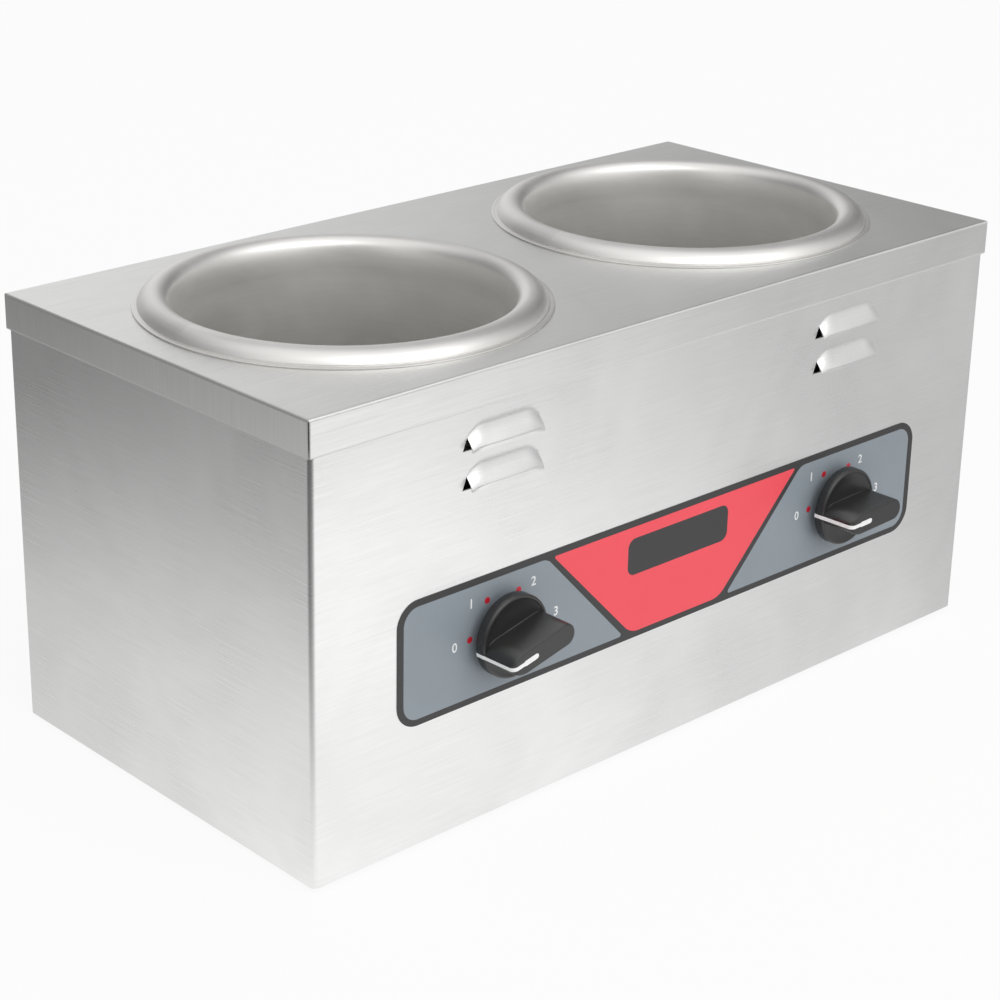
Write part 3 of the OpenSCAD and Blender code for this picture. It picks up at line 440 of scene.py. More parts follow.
def to_mesh(bm, name):
    """A new mesh from the working one, which is freed."""
    mesh = bpy.data.meshes.new(name)
    bm.to_mesh(mesh)
    bm.free()
    return mesh


def merged(mesh):
    """A working mesh with the corners of all faces joined."""
    bm = bmesh.new()
    bm.from_mesh(mesh)
    bmesh.ops.remove_doubles(bm, verts=bm.verts, dist=WELD)
    return bm


def finished_mesh(obj):
    """The object's shape with its modifiers in it, as a plain mesh."""
    graph = bpy.context.evaluated_depsgraph_get()
    return bpy.data.meshes.new_from_object(obj.evaluated_get(graph))


def even_normals(obj):
    """Evens the normals, then puts every modifier of the object into its mesh."""
    even = obj.modifiers.new("even_normals", "WEIGHTED_NORMAL")
    even.keep_sharp = True
    mesh = finished_mesh(obj)
    obj.modifiers.clear()
    obj.data = mesh


def place_piece(name, mesh, node_names, painted=False):
    """Links a mesh as a piece that stands for the named nodes and rides with their body.

    It gets the finish of its slot, unless it comes painted."""
    obj = link(name, mesh)
    if not painted:
        mesh.materials.clear()
        mesh.materials.append(finishes[slot_of[node_names[0]]])
    body = next(b for b, members in frame["record"]["behaviour"]["bodies"].items()
                if node_names[0] in members)
    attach(obj, body)
    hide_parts(*node_names)
    return obj


def fair_copy(node, cutter=None):
    bm = merged(nodes[node].data)
    bmesh.ops.dissolve_degenerate(bm, edges=bm.edges, dist=WELD / 20)
    set_sharp(bm, FAIR_ANGLE)
    mesh = to_mesh(bm, node + "_fair")
    lay_grain(mesh)
    obj = place_piece(node + "_fair", mesh, [node])
    if cutter:
        cut = obj.modifiers.new("seams", "BOOLEAN")
        cut.operation, cut.solver, cut.object = "DIFFERENCE", "EXACT", cutter
    even_normals(obj)
    return obj


DECK_STEP, SEAM_DROP = mm(1.1, 11.6)
SEAM_SIZE = mm(7, 0.45, 20.4)


def seam_cutter():
    """Thin upright blades across the deck's four corners, where its flanges only butt together."""
    bm = bmesh.new()
    corner = Vector((BODY_W / 2 + DECK_STEP, BODY_D / 2 + DECK_STEP, 0))
    for sx in (-1, 1):
        for sy in (-1, 1):
            place = (Matrix.Translation((sx * corner.x, sy * corner.y, DECK_TOP - SEAM_DROP))
                     @ Matrix.Rotation(sx * sy * math.pi / 4, 4, "Z")
                     @ Matrix.Diagonal((*SEAM_SIZE, 1)))
            bmesh.ops.create_cube(bm, size=1, matrix=place)
    return link("seam_cutter", to_mesh(bm, "seam_cutter"))


blades = seam_cutter()
print(fair_copy("top_deck", cutter=blades).name)
bpy.data.objects.remove(blades)
for node in ("rear_panel", "bottom_pan", "heat_shield_left", "heat_shield_right",
             "clamp_ring_left", "clamp_ring_right", "element_bar_left", "element_bar_right"):
    piece = fair_copy(node)
    print(piece.name, len(piece.data.polygons), "faces")

# %% [markdown]
# ## Turned pieces by Geometry Nodes
# The wells, the knobs' skirts, the feet and the cord gland are all surfaces of revolution, so one
# Geometry Nodes tree makes them: it takes a profile drawn as a line of points, sweeps it round a
# circle, welds the poles and gives it a material. The profile stays in code, where its arcs are
# written as arcs.

# %% The tree that turns a profile
CIRCLE_R = 0.05


def end_tree(tree, geometry, given, result):
    """Ends a geometry tree: instances made real, and the finish set."""
    real = add(tree, "GeometryNodeRealizeInstances", {"Geometry": geometry})
    dressed = add(tree, "GeometryNodeSetMaterial", {"Geometry": real.outputs["Geometry"],
                                                    "Material": given["Finish"]})
    feed(tree, result, {"Geometry": dressed.outputs["Geometry"]})
    tree.is_modifier = True
    return tree


def make_turning_tree():
    tree, given, result = new_tree(
        "turned_profile", "GeometryNodeTree",
        [("Geometry", "Geometry", None), ("Steps", "Int", 192),
         ("Circle radius", "Float", CIRCLE_R), ("Weld distance", "Float", WELD),
         ("Finish", "Material", None)],
        [("Geometry", "Geometry", None)])
    line = add(tree, "GeometryNodeMeshToCurve", {"Mesh": given["Geometry"]})
    ring = add(tree, "GeometryNodeCurvePrimitiveCircle", {
        "Resolution": given["Steps"], "Radius": given["Circle radius"]})
    swept = add(tree, "GeometryNodeCurveToMesh", {
        "Curve": ring.outputs["Curve"], "Profile Curve": line.outputs["Curve"]})
    welded = add(tree, "GeometryNodeMergeByDistance", {
        "Geometry": swept.outputs["Mesh"], "Distance": given["Weld distance"]})
    return end_tree(tree, welded.outputs["Geometry"], given, result)


turning_tree = make_turning_tree()


def run_tree(obj, tree, **values):
    """What a tree makes of the object, as a mesh; the object itself is removed."""
    modifier = obj.modifiers.new("run", "NODES")
    modifier.node_group = tree
    for item in tree.interface.items_tree:
        if item.in_out == "INPUT" and item.name in values:
            modifier[item.identifier] = values[item.name]
    mesh = finished_mesh(obj)
    bpy.data.objects.remove(obj)
    return mesh


def turn_profile(name, profile, centre, material, steps=192, angle=30):
    """A turned mesh: profile is a list of (radius, height) in metres, turned about Z."""
    bm = bmesh.new()
    points = [bm.verts.new((r - CIRCLE_R, -z, 0)) for r, z in profile]
    for a, b in zip(points, points[1:]):
        bm.edges.new((a, b))
    mesh = run_tree(link(name, to_mesh(bm, name + "_line")), turning_tree,
                    Steps=steps, Finish=material)
    bm = merged(mesh)
    bmesh.ops.recalc_face_normals(bm, faces=bm.faces)
    set_sharp(bm, angle)
    bm.to_mesh(mesh)
    bm.free()
    # the grain runs round the piece: the angle, at the well's radius, along and the height across
    layer = mesh.uv_layers.new(name="grain")
    for face in mesh.polygons:
        middle = math.atan2(face.center.y, face.center.x)
        for loop in face.loop_indices:
            co = mesh.vertices[mesh.loops[loop].vertex_index].co
            turn = math.atan2(co.y, co.x)
            if turn - middle > math.pi:
                turn -= 2 * math.pi
            if middle - turn > math.pi:
                turn += 2 * math.pi
            layer.data[loop].uv = (turn * WELL_R, co.z - math.hypot(co.x, co.y))
    mesh.transform(Matrix.Translation(centre))
    return mesh


# %% [markdown]
# ## The wells
# Each well is one drawing: a flat lip on the deck, a domed rim, a rolled mouth, a straight wall,
# a small corner and a flat bottom. The outer and the inner side of the sheet are drawn as two
# runs of the same arcs, one sheet apart, and the profile is closed at the edge of the lip.

# %% The profile of a well
def arc(centre, radius, start, end, steps):
    """Points on an arc from start to end degrees, both included."""
    turns = [start + (end - start) * i / steps for i in range(steps + 1)]
    return [(centre[0] + radius * cos_deg(a), centre[1] + radius * sin_deg(a)) for a in turns]


ROLL_W, ROLL_R, CREST_H, FLANK_W, LIP_W, WELL_CORNER = mm(8, 7, 7.6, 9.5, 2.5, 10)
EASE_W, EASE_H = mm(2.69, 16)
EASE_END, ROLL_TURN = 73.8, 60
WELL_FLOOR = FOOT_LIFT + mm(46.5)
crest_r = WELL_R + ROLL_W
flank_r = (FLANK_W ** 2 + (CREST_H - SHEET) ** 2) / (2 * (CREST_H - SHEET))
crest_z = DECK_TOP + CREST_H
lip_r = crest_r + FLANK_W + LIP_W


def roll(inset):
    """From the wall up over the rim's crest: a long ease out of the upright, then a turn."""
    turn_z = crest_z - ROLL_R
    ease_z = turn_z + ROLL_R * cos_deg(ROLL_TURN) - EASE_H * sin_deg(EASE_END)
    ease = [(WELL_R + inset + EASE_W * (1 - cos_deg(a)), ease_z + EASE_H * sin_deg(a))
            for a in (0, 8, 16, 24, 32, 40, 48, 56, 63, 69)]
    turn_r = ROLL_R - inset
    return ease + [(crest_r - turn_r * sin_deg(a), turn_z + turn_r * cos_deg(a))
                   for a in range(ROLL_TURN, -1, -5)]


def well_profile():
    """Top side from the middle out to the lip's edge, then the underside back to the middle."""
    roll_z, flank_z, flank_end = roll(0)[0][1], crest_z - flank_r, crest_r + FLANK_W
    low, lip_top, edge = WELL_FLOOR + WELL_CORNER, DECK_TOP + SHEET, SHEET * 0.35
    bend = (WELL_R - WELL_CORNER, low)
    foot = math.degrees(math.asin((lip_top - flank_z) / flank_r))
    inner_foot = math.degrees(math.asin((DECK_TOP + mm(0.1) - flank_z) / (flank_r - SHEET)))
    line = [(r, WELL_FLOOR) for r in (0, WELL_R * 0.45, bend[0] - mm(0.01))]
    line += arc(bend, WELL_CORNER, 270, 360, 14)
    line += [(WELL_R, low + (roll_z - low) * i / 12) for i in range(1, 12)]
    line += roll(0)
    line += arc((crest_r, flank_z), flank_r, 90, foot, 16)[1:-1]
    line += [(flank_end + mm(r), lip_top + mm(z))
             for r, z in ((-0.35, 0.22), (0.05, 0.04), (0.5, 0))]
    line += [(lip_r - edge, lip_top), (lip_r - edge * 0.3, lip_top - edge * 0.3),
             (lip_r, lip_top - edge)]
    line += [(lip_r, DECK_TOP + edge), (lip_r - edge, DECK_TOP), (flank_end - mm(0.6), DECK_TOP)]
    line += arc((crest_r, flank_z), flank_r - SHEET, inner_foot, 90, 12)
    line += roll(SHEET)[-2::-1] + [(WELL_R + SHEET, low)]
    line += arc(bend, WELL_CORNER + SHEET, 360, 270, 10)[1:]
    return line + [(0, WELL_FLOOR - SHEET)]


STUD_R, STUD_LOW, STUD_BEVEL = mm(3, 27, 0.4)
stud_top = WELL_FLOOR - mm(0.5)
stud_line = [(0, STUD_LOW), (STUD_R - STUD_BEVEL, STUD_LOW), (STUD_R, STUD_LOW + STUD_BEVEL),
             (STUD_R, stud_top), (0, stud_top)]
for side, sign in SIDES.items():
    centre = (sign * WELL_X, 0, 0)
    mesh = turn_profile("well_" + side, well_profile(), centre, drawn_steel, steps=224)
    stud = turn_profile("stud_" + side, stud_line, centre, drawn_steel, steps=32)
    bm = bmesh.new()
    bm.from_mesh(mesh)
    bm.from_mesh(stud)
    bm.to_mesh(mesh)
    bm.free()
    well = place_piece("drawn_well_" + side, mesh, ["well_" + side])
    lo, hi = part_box("well_" + side)
    print(well.name, len(mesh.polygons), "faces; rises to",
          round(max(v.co.z for v in mesh.vertices) * 1000, 2), "mm, the solid to",
          round(hi.z * 1000, 2))

# %% [markdown]
# ## The body wrapper with its louvers
# The front and the two sides are one folded sheet. Each louver is that same sheet, slit along its
# lower edge and a little way up at both ends, and pushed outwards: the metal beside the slit's
# ends and above them stretches into a soft swell. So the front is a net of points whose depth
# comes from one formula, split where the slit runs, and the Solidify modifier gives it the
# sheet's thickness.

# %% The depth of a louver
SLIT_HALF, SLIT_UP, SLIT_FLARE, SLIT_MARGIN = mm(23.4, 6.8, 2.8, 8)
LOUVER_RISE, LOUVER_OUT, LOUVER_BELLY, DOME_W = mm(14.0, 4.2, 1.0, 13)
LOUVER_LOWS = mm(181.1, 200.7)
LIP_H, LIP_TURN, FLANK_STRAIGHT, END_POWER = mm(2.3), 0.2, 0.45, 1.15


def smooth_step(t):
    t = min(max(t, 0.0), 1.0)
    return t * t * (3 - 2 * t)


def flank(t):
    """Falls from 1 to 0 as t goes from 0 to 1: straight at first, then a soft run-out."""
    if t <= FLANK_STRAIGHT:
        return 1 - 2 * t / (1 + FLANK_STRAIGHT)
    return (1 - t) ** 2 / (1 - FLANK_STRAIGHT ** 2)


def louver_depth(x, z):
    """How far the sheet stands out at x from the louver's middle and z above its slit."""
    if z < 0 or abs(x) > SLIT_HALF:
        return 0.0
    inwards = min((SLIT_HALF - abs(x)) / DOME_W, 1.0)
    rise = SLIT_UP + (LOUVER_RISE - SLIT_UP) * math.sin(math.pi / 2 * inwards)
    out = LOUVER_OUT + LOUVER_BELLY * (1 - (x / SLIT_HALF) ** 2)
    if z < LIP_H:
        middle = out - LIP_TURN * (LIP_H - z)
    else:
        middle = out * flank(min((z - LIP_H) / (rise - LIP_H), 1))
    end = out * math.cos(math.pi / 2 * min(z / rise, 1)) ** END_POWER
    return end + (middle - end) * smooth_step(inwards)


# %% The net of the front, split at the slits
CORNER_BEND, RETURN_W, NET_TOP = mm(3, 12, 15.5)
NEAR = 1e-9


def even_steps(start, end, count):
    """count points after start, the last one at end."""
    return [start + (end - start) * k / count for k in range(1, count + 1)]


def front_lines():
    """The columns and rows of the front's net, closer together where a louver bends."""
    half = even_steps(0, SLIT_HALF - DOME_W, 5)
    half += [SLIT_HALF - DOME_W * (1 - k / 12) ** 2 for k in range(1, 13)]
    half += even_steps(SLIT_HALF, SLIT_HALF + SLIT_MARGIN, 4)
    across = sorted({0.0, *half, *(-x for x in half)})
    columns = [(s * LOUVER_X + x, x) for s in (-1, 1) for x in across]
    edge, flange_edge = BODY_W / 2 - CORNER_BEND, BODY_W / 2 - RETURN_W
    columns = [(-edge, None), (-flange_edge, None), *columns, (flange_edge, None), (edge, None)]
    up = [mm(-2.5), 0.0, *even_steps(0, SLIT_UP, 10), *even_steps(SLIT_UP, NET_TOP, 10)]
    rows = [(low + z, z) for low in LOUVER_LOWS for z in up]
    return columns, [(FOOT_LIFT, None), *rows, (DECK_TOP - mm(1.5), None)]


def wrapper_mesh():
    bm = bmesh.new()
    made = {}

    def point(x, y, z, key=None):
        spot = (round(x, 7), round(y, 7), round(z, 7), key)
        if spot not in made:
            made[spot] = bm.verts.new((x, y, z))
        return made[spot]

    def net_point(column, row, flap):
        (x, local), (z, up) = column, row
        if local is None or up is None:
            return point(x, FRONT_Y, z)
        on_split = -NEAR < up < SLIT_UP - NEAR
        if flap or not on_split:
            key = "flap" if flap and on_split else None
            return point(x, FRONT_Y - louver_depth(local, up), z, key)
        beside = abs(local) - SLIT_HALF
        if beside > -NEAR:
            flare = SLIT_FLARE * (1 - up / SLIT_UP) * (1 - beside / SLIT_MARGIN)
            x += math.copysign(flare, local)
        return point(x, FRONT_Y, z)

    columns, rows = front_lines()
    for c0, c1 in zip(columns, columns[1:]):
        for r0, r1 in zip(rows, rows[1:]):
            flap = None not in (c0[1], c1[1], r0[1], r1[1]) and (
                abs(c0[1] + c1[1]) / 2 < SLIT_HALF and 0 < (r0[1] + r1[1]) / 2 < SLIT_UP
                and c0[1] < c1[1] and r0[1] < r1[1])
            bm.faces.new([net_point(c, r, flap)
                          for c, r in ((c0, r0), (c1, r0), (c1, r1), (c0, r1))])
    half, inner, folded = BODY_W / 2, BODY_W / 2 - RETURN_W, BODY_W / 2 - CORNER_BEND
    levels = [z for z, _ in rows]
    front = [(half - CORNER_BEND * (1 - sin_deg(a)), FRONT_Y + CORNER_BEND * (1 - cos_deg(a)))
             for a in range(15, 91, 15)]
    rear = [(x, -y) for x, y in front[::-1]] + [(folded, -FRONT_Y), (inner, -FRONT_Y)]
    path = [(folded, FRONT_Y), *front, *rear]
    for sign in (-1, 1):
        # round the front fold, along the side, round the rear fold and in along the return flange
        for (xa, ya), (xb, yb) in zip(path, path[1:]):
            for z0, z1 in zip(levels, levels[1:]):
                corners = ((xa, ya, z0), (xb, yb, z0), (xb, yb, z1), (xa, ya, z1))
                bm.faces.new([point(sign * x, y, z) for x, y, z in corners][::sign])
        # the flange under the side and the corner, in one flat face
        base = [point(sign * x, y, FOOT_LIFT)
                for x, y in ((inner, FRONT_Y), *path[:-len(rear)], (half, -FRONT_Y - CORNER_BEND))]
        base += [point(sign * inner, y, FOOT_LIFT, "base")
                 for y in (-FRONT_Y - CORNER_BEND, FRONT_Y + RETURN_W)]
        bm.faces.new(base[::-sign])
    for (xa, _), (xb, _) in zip(columns[1:-1], columns[2:-1]):
        inner_edge = [point(x, FRONT_Y + RETURN_W, FOOT_LIFT, "base") for x in (xa, xb)]
        bm.faces.new(inner_edge + [point(x, FRONT_Y, FOOT_LIFT) for x in (xb, xa)])
    return bm


# painted highlight: the sheet's cut edges get a near-white, half-metal colour, so they show bright
# from every side
cut_edge_glint = make_moulded("cut_edge_glint", (0.88, 0.88, 0.87), (0.95, 0.95, 0.94), 0.6,
                            metallic=0.5)
body_net = wrapper_mesh()
bmesh.ops.recalc_face_normals(body_net, faces=body_net.faces)
outward = sum(f.normal.y * f.calc_area() for f in body_net.faces
              if f.calc_center_median().y < FRONT_Y + mm(1))
if outward > 0:
    bmesh.ops.reverse_faces(body_net, faces=body_net.faces)
set_sharp(body_net, 50)
wrapper = place_piece("body_wrapper", to_mesh(body_net, "body_wrapper"), ["wrapper"])
wrapper.data.materials.append(cut_edge_glint)
thick = wrapper.modifiers.new("sheet", "SOLIDIFY")
thick.thickness = SHEET
thick.offset = -1
# the sheet's edges take the painted edge highlight
thick.material_offset_rim = 1
even_normals(wrapper)
lay_grain(wrapper.data, {**FLAT_GRAIN, 0: (1, 2)})
print(wrapper.name, len(wrapper.data.polygons), "faces")

# %% [markdown]
# ## The printed film
# The control film is one plain sheet with flat colours printed on it: a charcoal ground that
# shows as the border, two slate fields round the knobs, a red field between them, a dark plate,
# and the heat marks. Each field is cut as its own outline with rounded corners and laid a few
# thousandths of a millimetre above what is under it, so its edges stay crisp at any size. The
# marks carry digits.

# %% Outlines
def rounded_outline(corners, radii, steps=10):
    """Points round a polygon whose corners are rounded, each with its own radius."""
    made = []
    count = len(corners)
    for i, radius in enumerate(radii):
        here, before, after = (Vector(corners[k % count]) for k in (i, i - 1, i + 1))
        a, b = (before - here).normalized(), (after - here).normalized()
        half_angle = math.acos(max(-1, min(1, a.dot(b)))) / 2
        reach = radius / math.tan(half_angle)
        centre = here + (a + b).normalized() * (radius / math.sin(half_angle))
        start, end = here + a * reach - centre, here + b * reach - centre
        turn = start.angle_signed(end)
        for k in range(steps + 1):
            spun = start.copy()
            spun.rotate(Matrix.Rotation(-turn * k / steps, 2))
            made.append(centre + spun)
    return made


def rounded_box(x0, x1, z0, z1, radius, steps=10):
    return rounded_outline([(x0, z0), (x1, z0), (x1, z1), (x0, z1)], [radius] * 4, steps)


def disc_outline(x, z, radius, steps):
    turns = [2 * math.pi * i / steps for i in range(steps)]
    return [(x + radius * math.cos(t), z + radius * math.sin(t)) for t in turns]


# %% The film and its fields
def make_print(name, colour):
    """A flat colour that varies a little, on a fine satin film."""
    return make_moulded(name, tuple(c * 0.94 for c in colour),
                        tuple(min(1.0, c * 1.12 + 0.002) for c in colour), 0.42, bump=0.12,
                        grain_size=1800.0, wear_size=25.0, specular=0.45, worn=0.08,
                        grained=0.0, bump_depth=0.0001)


prints = {kind: make_print(name, colour) for kind, name, colour in (
    ("ground", "print_charcoal", (0.040, 0.039, 0.041)),
    ("slate", "print_slate", (0.272, 0.311, 0.346)),
    ("red", "print_red", (0.96, 0.085, 0.112)),
    ("plate", "print_black", (0.040, 0.038, 0.040)),
    ("dot", "print_dot", (0.64, 0.020, 0.040)),
    ("digit", "print_white", (0.87, 0.87, 0.87)))}
print_order = list(prints)
FILM_HALF, FILM_LOW, FILM_HIGH, FILM_ROUND = mm(193, 68, 134, 13)
HOLE_R, DOT_R, DOT_RING, DIGIT_H = mm(9.08, 1.75, 21.2, 5)
MARKS = (LAST_MARK, 118, 59, 0)
FONT_SIZE, FONT_WEIGHT = 1.38, 0.018
DIGITS = (("0", -31, 0), ("1", -20.5, 20), ("2", 21, 20), ("3", 37, -1))
GROUND_Y = FRONT_Y - FILM_T + mm(0.012)
LAYER_STEP = mm(0.005)
holes = {sign: disc_outline(sign * CONTROL_X, KNOB_Z, HOLE_R, 48) for sign in (-1, 1)}
grey = [mm(189, 71.4), mm(189, 130.4), mm(95.4, 130.4), mm(39.4, 71.4)]
red = [mm(-91.2, 130.4), mm(91.2, 130.4), mm(33.8, 71.3), mm(-33.8, 71.3)]
fields = [("slate", rounded_outline([(sign * x, z) for x, z in grey], mm(9, 9, 9, 1.2)), 1)
          for sign in (1, -1)]
fields.append(("red", rounded_outline(red, mm(0.8, 0.8, 14, 14)), 1))
fields.append(("plate", rounded_box(*mm(-37.7, 37.7, 103.7, 124, 5)), 2))
for sign in SIDES.values():
    for mark in MARKS:
        x, z = sign * CONTROL_X + DOT_RING * cos_deg(mark), KNOB_Z + DOT_RING * sin_deg(mark)
        fields.append(("dot", disc_outline(x, z, DOT_R, 28), 2))


def ring_of(bm, points, y):
    return [bm.verts.new((x, y, z)) for x, z in points]


def close_loop(bm, loop):
    """Edges round a closed run of points."""
    return [bm.edges.new((a, b)) for a, b in zip(loop, loop[1:] + loop[:1])]


def bands(bm, rings, way=1):
    """Faces between each ring of points and the next one."""
    return [bm.faces.new((low[k], low[(k + way) % len(low)], high[(k + way) % len(low)], high[k]))
            for low, high in zip(rings, rings[1:]) for k in range(len(low))]


def print_faces(faces, kind):
    """Turns flat faces to the front and gives them their colour."""
    for face in faces:
        face.normal_update()
        if face.normal.y > 0:
            face.normal_flip()
        face.material_index = print_order.index(kind)


def film_mesh():
    bm = bmesh.new()
    outline = rounded_box(-FILM_HALF, FILM_HALF, FILM_LOW, FILM_HIGH, FILM_ROUND, 14)
    # the ground with its two round holes, front and back, and the walls between them
    rims = []
    for y in (GROUND_Y, FRONT_Y):
        loops = [ring_of(bm, points, y) for points in (outline, *holes.values())]
        edges = [edge for loop in loops for edge in close_loop(bm, loop)]
        bmesh.ops.triangle_fill(bm, edges=edges, use_beauty=True)
        rims.append(loops)
    for near, far in zip(*rims):
        bands(bm, (near, far))
    bmesh.ops.recalc_face_normals(bm, faces=bm.faces)
    for kind, points, layer in fields:
        y = GROUND_Y - LAYER_STEP * layer
        edges = close_loop(bm, ring_of(bm, points, y))
        if kind == "slate":
            sign = 1 if points[0][0] > 0 else -1
            edges += close_loop(bm, ring_of(bm, holes[sign], y))
        made = bmesh.ops.triangle_fill(bm, edges=edges, use_beauty=True)["geom"]
        print_faces([f for f in made if isinstance(f, bmesh.types.BMFace)], kind)
    return bm


def add_digit(bm, text, x, z, height):
    """A digit as flat faces, made from the built-in lettering and centred on its place."""
    words = bpy.data.curves.new("digit_" + text, "FONT")
    words.body = text
    words.size = height * FONT_SIZE
    words.align_x, words.align_y = "CENTER", "CENTER"
    words.offset = height * FONT_WEIGHT
    holder = link("digit_" + text, words)
    mesh = finished_mesh(holder)
    bpy.data.objects.remove(holder)
    lo, hi = ([pick(v.co[i] for v in mesh.vertices) for i in (0, 1)] for pick in (min, max))
    stretch = height / (hi[1] - lo[1])
    for vert in mesh.vertices:
        u, v = ((vert.co[i] - (lo[i] + hi[i]) / 2) * stretch for i in (0, 1))
        vert.co = (x + u, GROUND_Y - 2 * LAYER_STEP, z + v)
    before = len(bm.faces)
    bm.from_mesh(mesh)
    bm.faces.ensure_lookup_table()
    print_faces(bm.faces[before:], "digit")


film_net = film_mesh()
for sign in SIDES.values():
    for text, dx, dz in DIGITS:
        add_digit(film_net, text, sign * CONTROL_X + mm(dx), KNOB_Z + mm(dz), DIGIT_H)
film_data = to_mesh(film_net, "control_film")
for kind in print_order:
    film_data.materials.append(prints[kind])
film = place_piece("control_film", film_data, ["control_overlay"], painted=True)
print(film.name, len(film_data.polygons), "faces,", len(fields), "printed fields")

# %% [markdown]
# ## The knobs
# A knob is a round skirt with a bevelled face and a bar grip across it. Turned from the side, the
# whole grip keeps inside the skirt's round; seen from the front, it is a straight bar that
# narrows to a rounded nose at the pointer. So the grip is built in levels: at each height, every
# direction takes the nearest of the bar's side, the nose's arc and the turned outline, blended
# where they meet, and the outline is drawn in towards the front to round its long edges. The knob
# is drawn in millimetres about its own axis, with the height off the panel as Z, and then set in
# its place.

# %% The outline of the grip
SKIRT_R, FACE_H, GRIP_HALF, NOSE_X, NOSE_TIP, TAIL_X = 21.6, 10.6, 6.0, 12.1, 1.1, 14.6
NOSE_R = ((SKIRT_R - NOSE_X) ** 2 + (GRIP_HALF - NOSE_TIP) ** 2) / (2 * (GRIP_HALF - NOSE_TIP))
KNOB_FRONT, FRONT_ROUND, SIDE_ROUND = 30.46, 3.0, 1.0
TURN_H = KNOB_FRONT - FRONT_ROUND
GRIP_BASE_R, GRIP_FRONT_R, GRIP_BASE_H, PLAN_H = 21.5, 21.0, 10, 20
TURN_BLEND, FINE_STEPS = 0.6, 4000


def turned_radius(h):
    """Radius of the turned outline of the grip at height h off the panel."""
    if h <= TURN_H:
        share = (h - GRIP_BASE_H) / (TURN_H - GRIP_BASE_H)
        return GRIP_BASE_R + (GRIP_FRONT_R - GRIP_BASE_R) * share
    rise = min(h - TURN_H, FRONT_ROUND)
    return GRIP_FRONT_R - FRONT_ROUND + math.sqrt(max(FRONT_ROUND ** 2 - rise ** 2, 0))


def soft_min(a, b, blend):
    share = max(blend - abs(a - b), 0) / blend
    return min(a, b) - share * share * blend / 4


def to_circle(direction, cx, cy, radius):
    """Distance from the axis, along a direction, to the far side of a circle."""
    along = math.cos(direction) * cx + math.sin(direction) * cy
    return along + math.sqrt(max(along * along - cx * cx - cy * cy + radius * radius, 0))


def plan_radius(direction, inset):
    """Distance from the axis to the bar's side, its round tail or its nose."""
    up = abs(math.sin(direction))
    side = (GRIP_HALF - inset) / max(up, 1e-6)
    reach = side * math.cos(direction)
    half_turn = math.atan2(up, math.cos(direction))
    if reach < -TAIL_X:
        return to_circle(half_turn, -TAIL_X, 0, GRIP_HALF - inset)
    if reach > NOSE_X:
        return to_circle(half_turn, NOSE_X, GRIP_HALF - NOSE_R, NOSE_R - inset)
    return side


def grip_radius(direction, h, inset):
    """The nose follows the turned outline; the tail stays upright to its small front edge."""
    turned = turned_radius(h) if math.cos(direction) > 0 else GRIP_FRONT_R + 1
    return soft_min(plan_radius(direction, inset), turned, TURN_BLEND)


def grip_directions(count=240):
    """Directions spaced evenly along the outline, so that its corners get enough points."""
    fine = [2 * math.pi * i / FINE_STEPS for i in range(FINE_STEPS)]
    radii = [grip_radius(a, PLAN_H, 0) for a in fine]
    spots = [(r * math.cos(a), r * math.sin(a)) for r, a in zip(radii, fine)]
    steps = [math.dist(a, b) for a, b in zip(spots, spots[1:] + spots[:1])]
    reach = np.concatenate([[0], np.cumsum(steps)])
    wanted = np.linspace(0, reach[-1], count, endpoint=False)
    return [fine[int(k)] for k in np.searchsorted(reach, wanted, side="right") - 1]


# %% Skirt, grip and pointer as one knob
PROUD, RIBBON_W, PAD_W, RIBBON_T = 0.03, 1.05, 1.44, 0.5
SHELL_ANGLE, SPREAD_FROM, SPREAD_RUN = 40, 16, 3
# (radius, height) round the skirt: cavity, back rim, wall, rounded edge, rim and sunk face
SKIRT_LINE = [
    (0, 8.8), (3.2, 8.8), (3.2, 5.1), (3.5, 4.8), (5.7, 4.8), (6, 5.1), (6, 8.8), (19.4, 8.8),
    (19.6, 8.6), (19.6, 5.3), (19.8, 5.1), (21.35, 5.1), (21.6, 5.35), (21.6, 9.8),
    (21.53, 10.1), (21.36, 10.36), (21.14, 10.6), (20.9, 10.79), (20.7, 10.87), (20.5, 10.9),
    (19.95, 10.9), (19.8, 10.86), (19.62, 10.68), (19.45, 10.6), (14, 10.6), (8, 10.6),
    (0, 10.6)]
# (height above the face, inset) up the grip's foot: an inset below zero widens it, but only
# where the grip is well inside the skirt
FILLET = [(-0.8, 0.0), (-0.02, -0.5), (0.04, -0.3), (0.13, -0.15), (0.28, -0.05), (0.5, 0.0)]
# (distance from the axis, half width) along the pointer on the knob's front
PAD_LINE = [(15, RIBBON_W), (13.7, RIBBON_W), (13.5, 1.15), (13.35, 1.35), (13.1, PAD_W),
            (9, PAD_W), (5.74, PAD_W), (5.2, 1.34), (4.8, 1.1), (4.5, 0.77), (4.36, 0.45),
            (4.3, 0.1)]


def knob_frame(side):
    return (Matrix.Translation((SIDES[side] * CONTROL_X, FRONT_Y, KNOB_Z))
            @ Matrix.Rotation(-math.radians(REST_TURN[side]), 4, "Y")
            @ Matrix.Rotation(math.radians(90), 4, "X") @ Matrix.Scale(0.001, 4))


def close_shell(bm, rings):
    """Faces along the rings and over both ends."""
    rings = [[bm.verts.new(p) for p in ring] for ring in rings]
    bands(bm, rings)
    bm.faces.new(rings[-1])
    bm.faces.new(rings[0][::-1])
    bmesh.ops.recalc_face_normals(bm, faces=bm.faces)
    set_sharp(bm, SHELL_ANGLE)


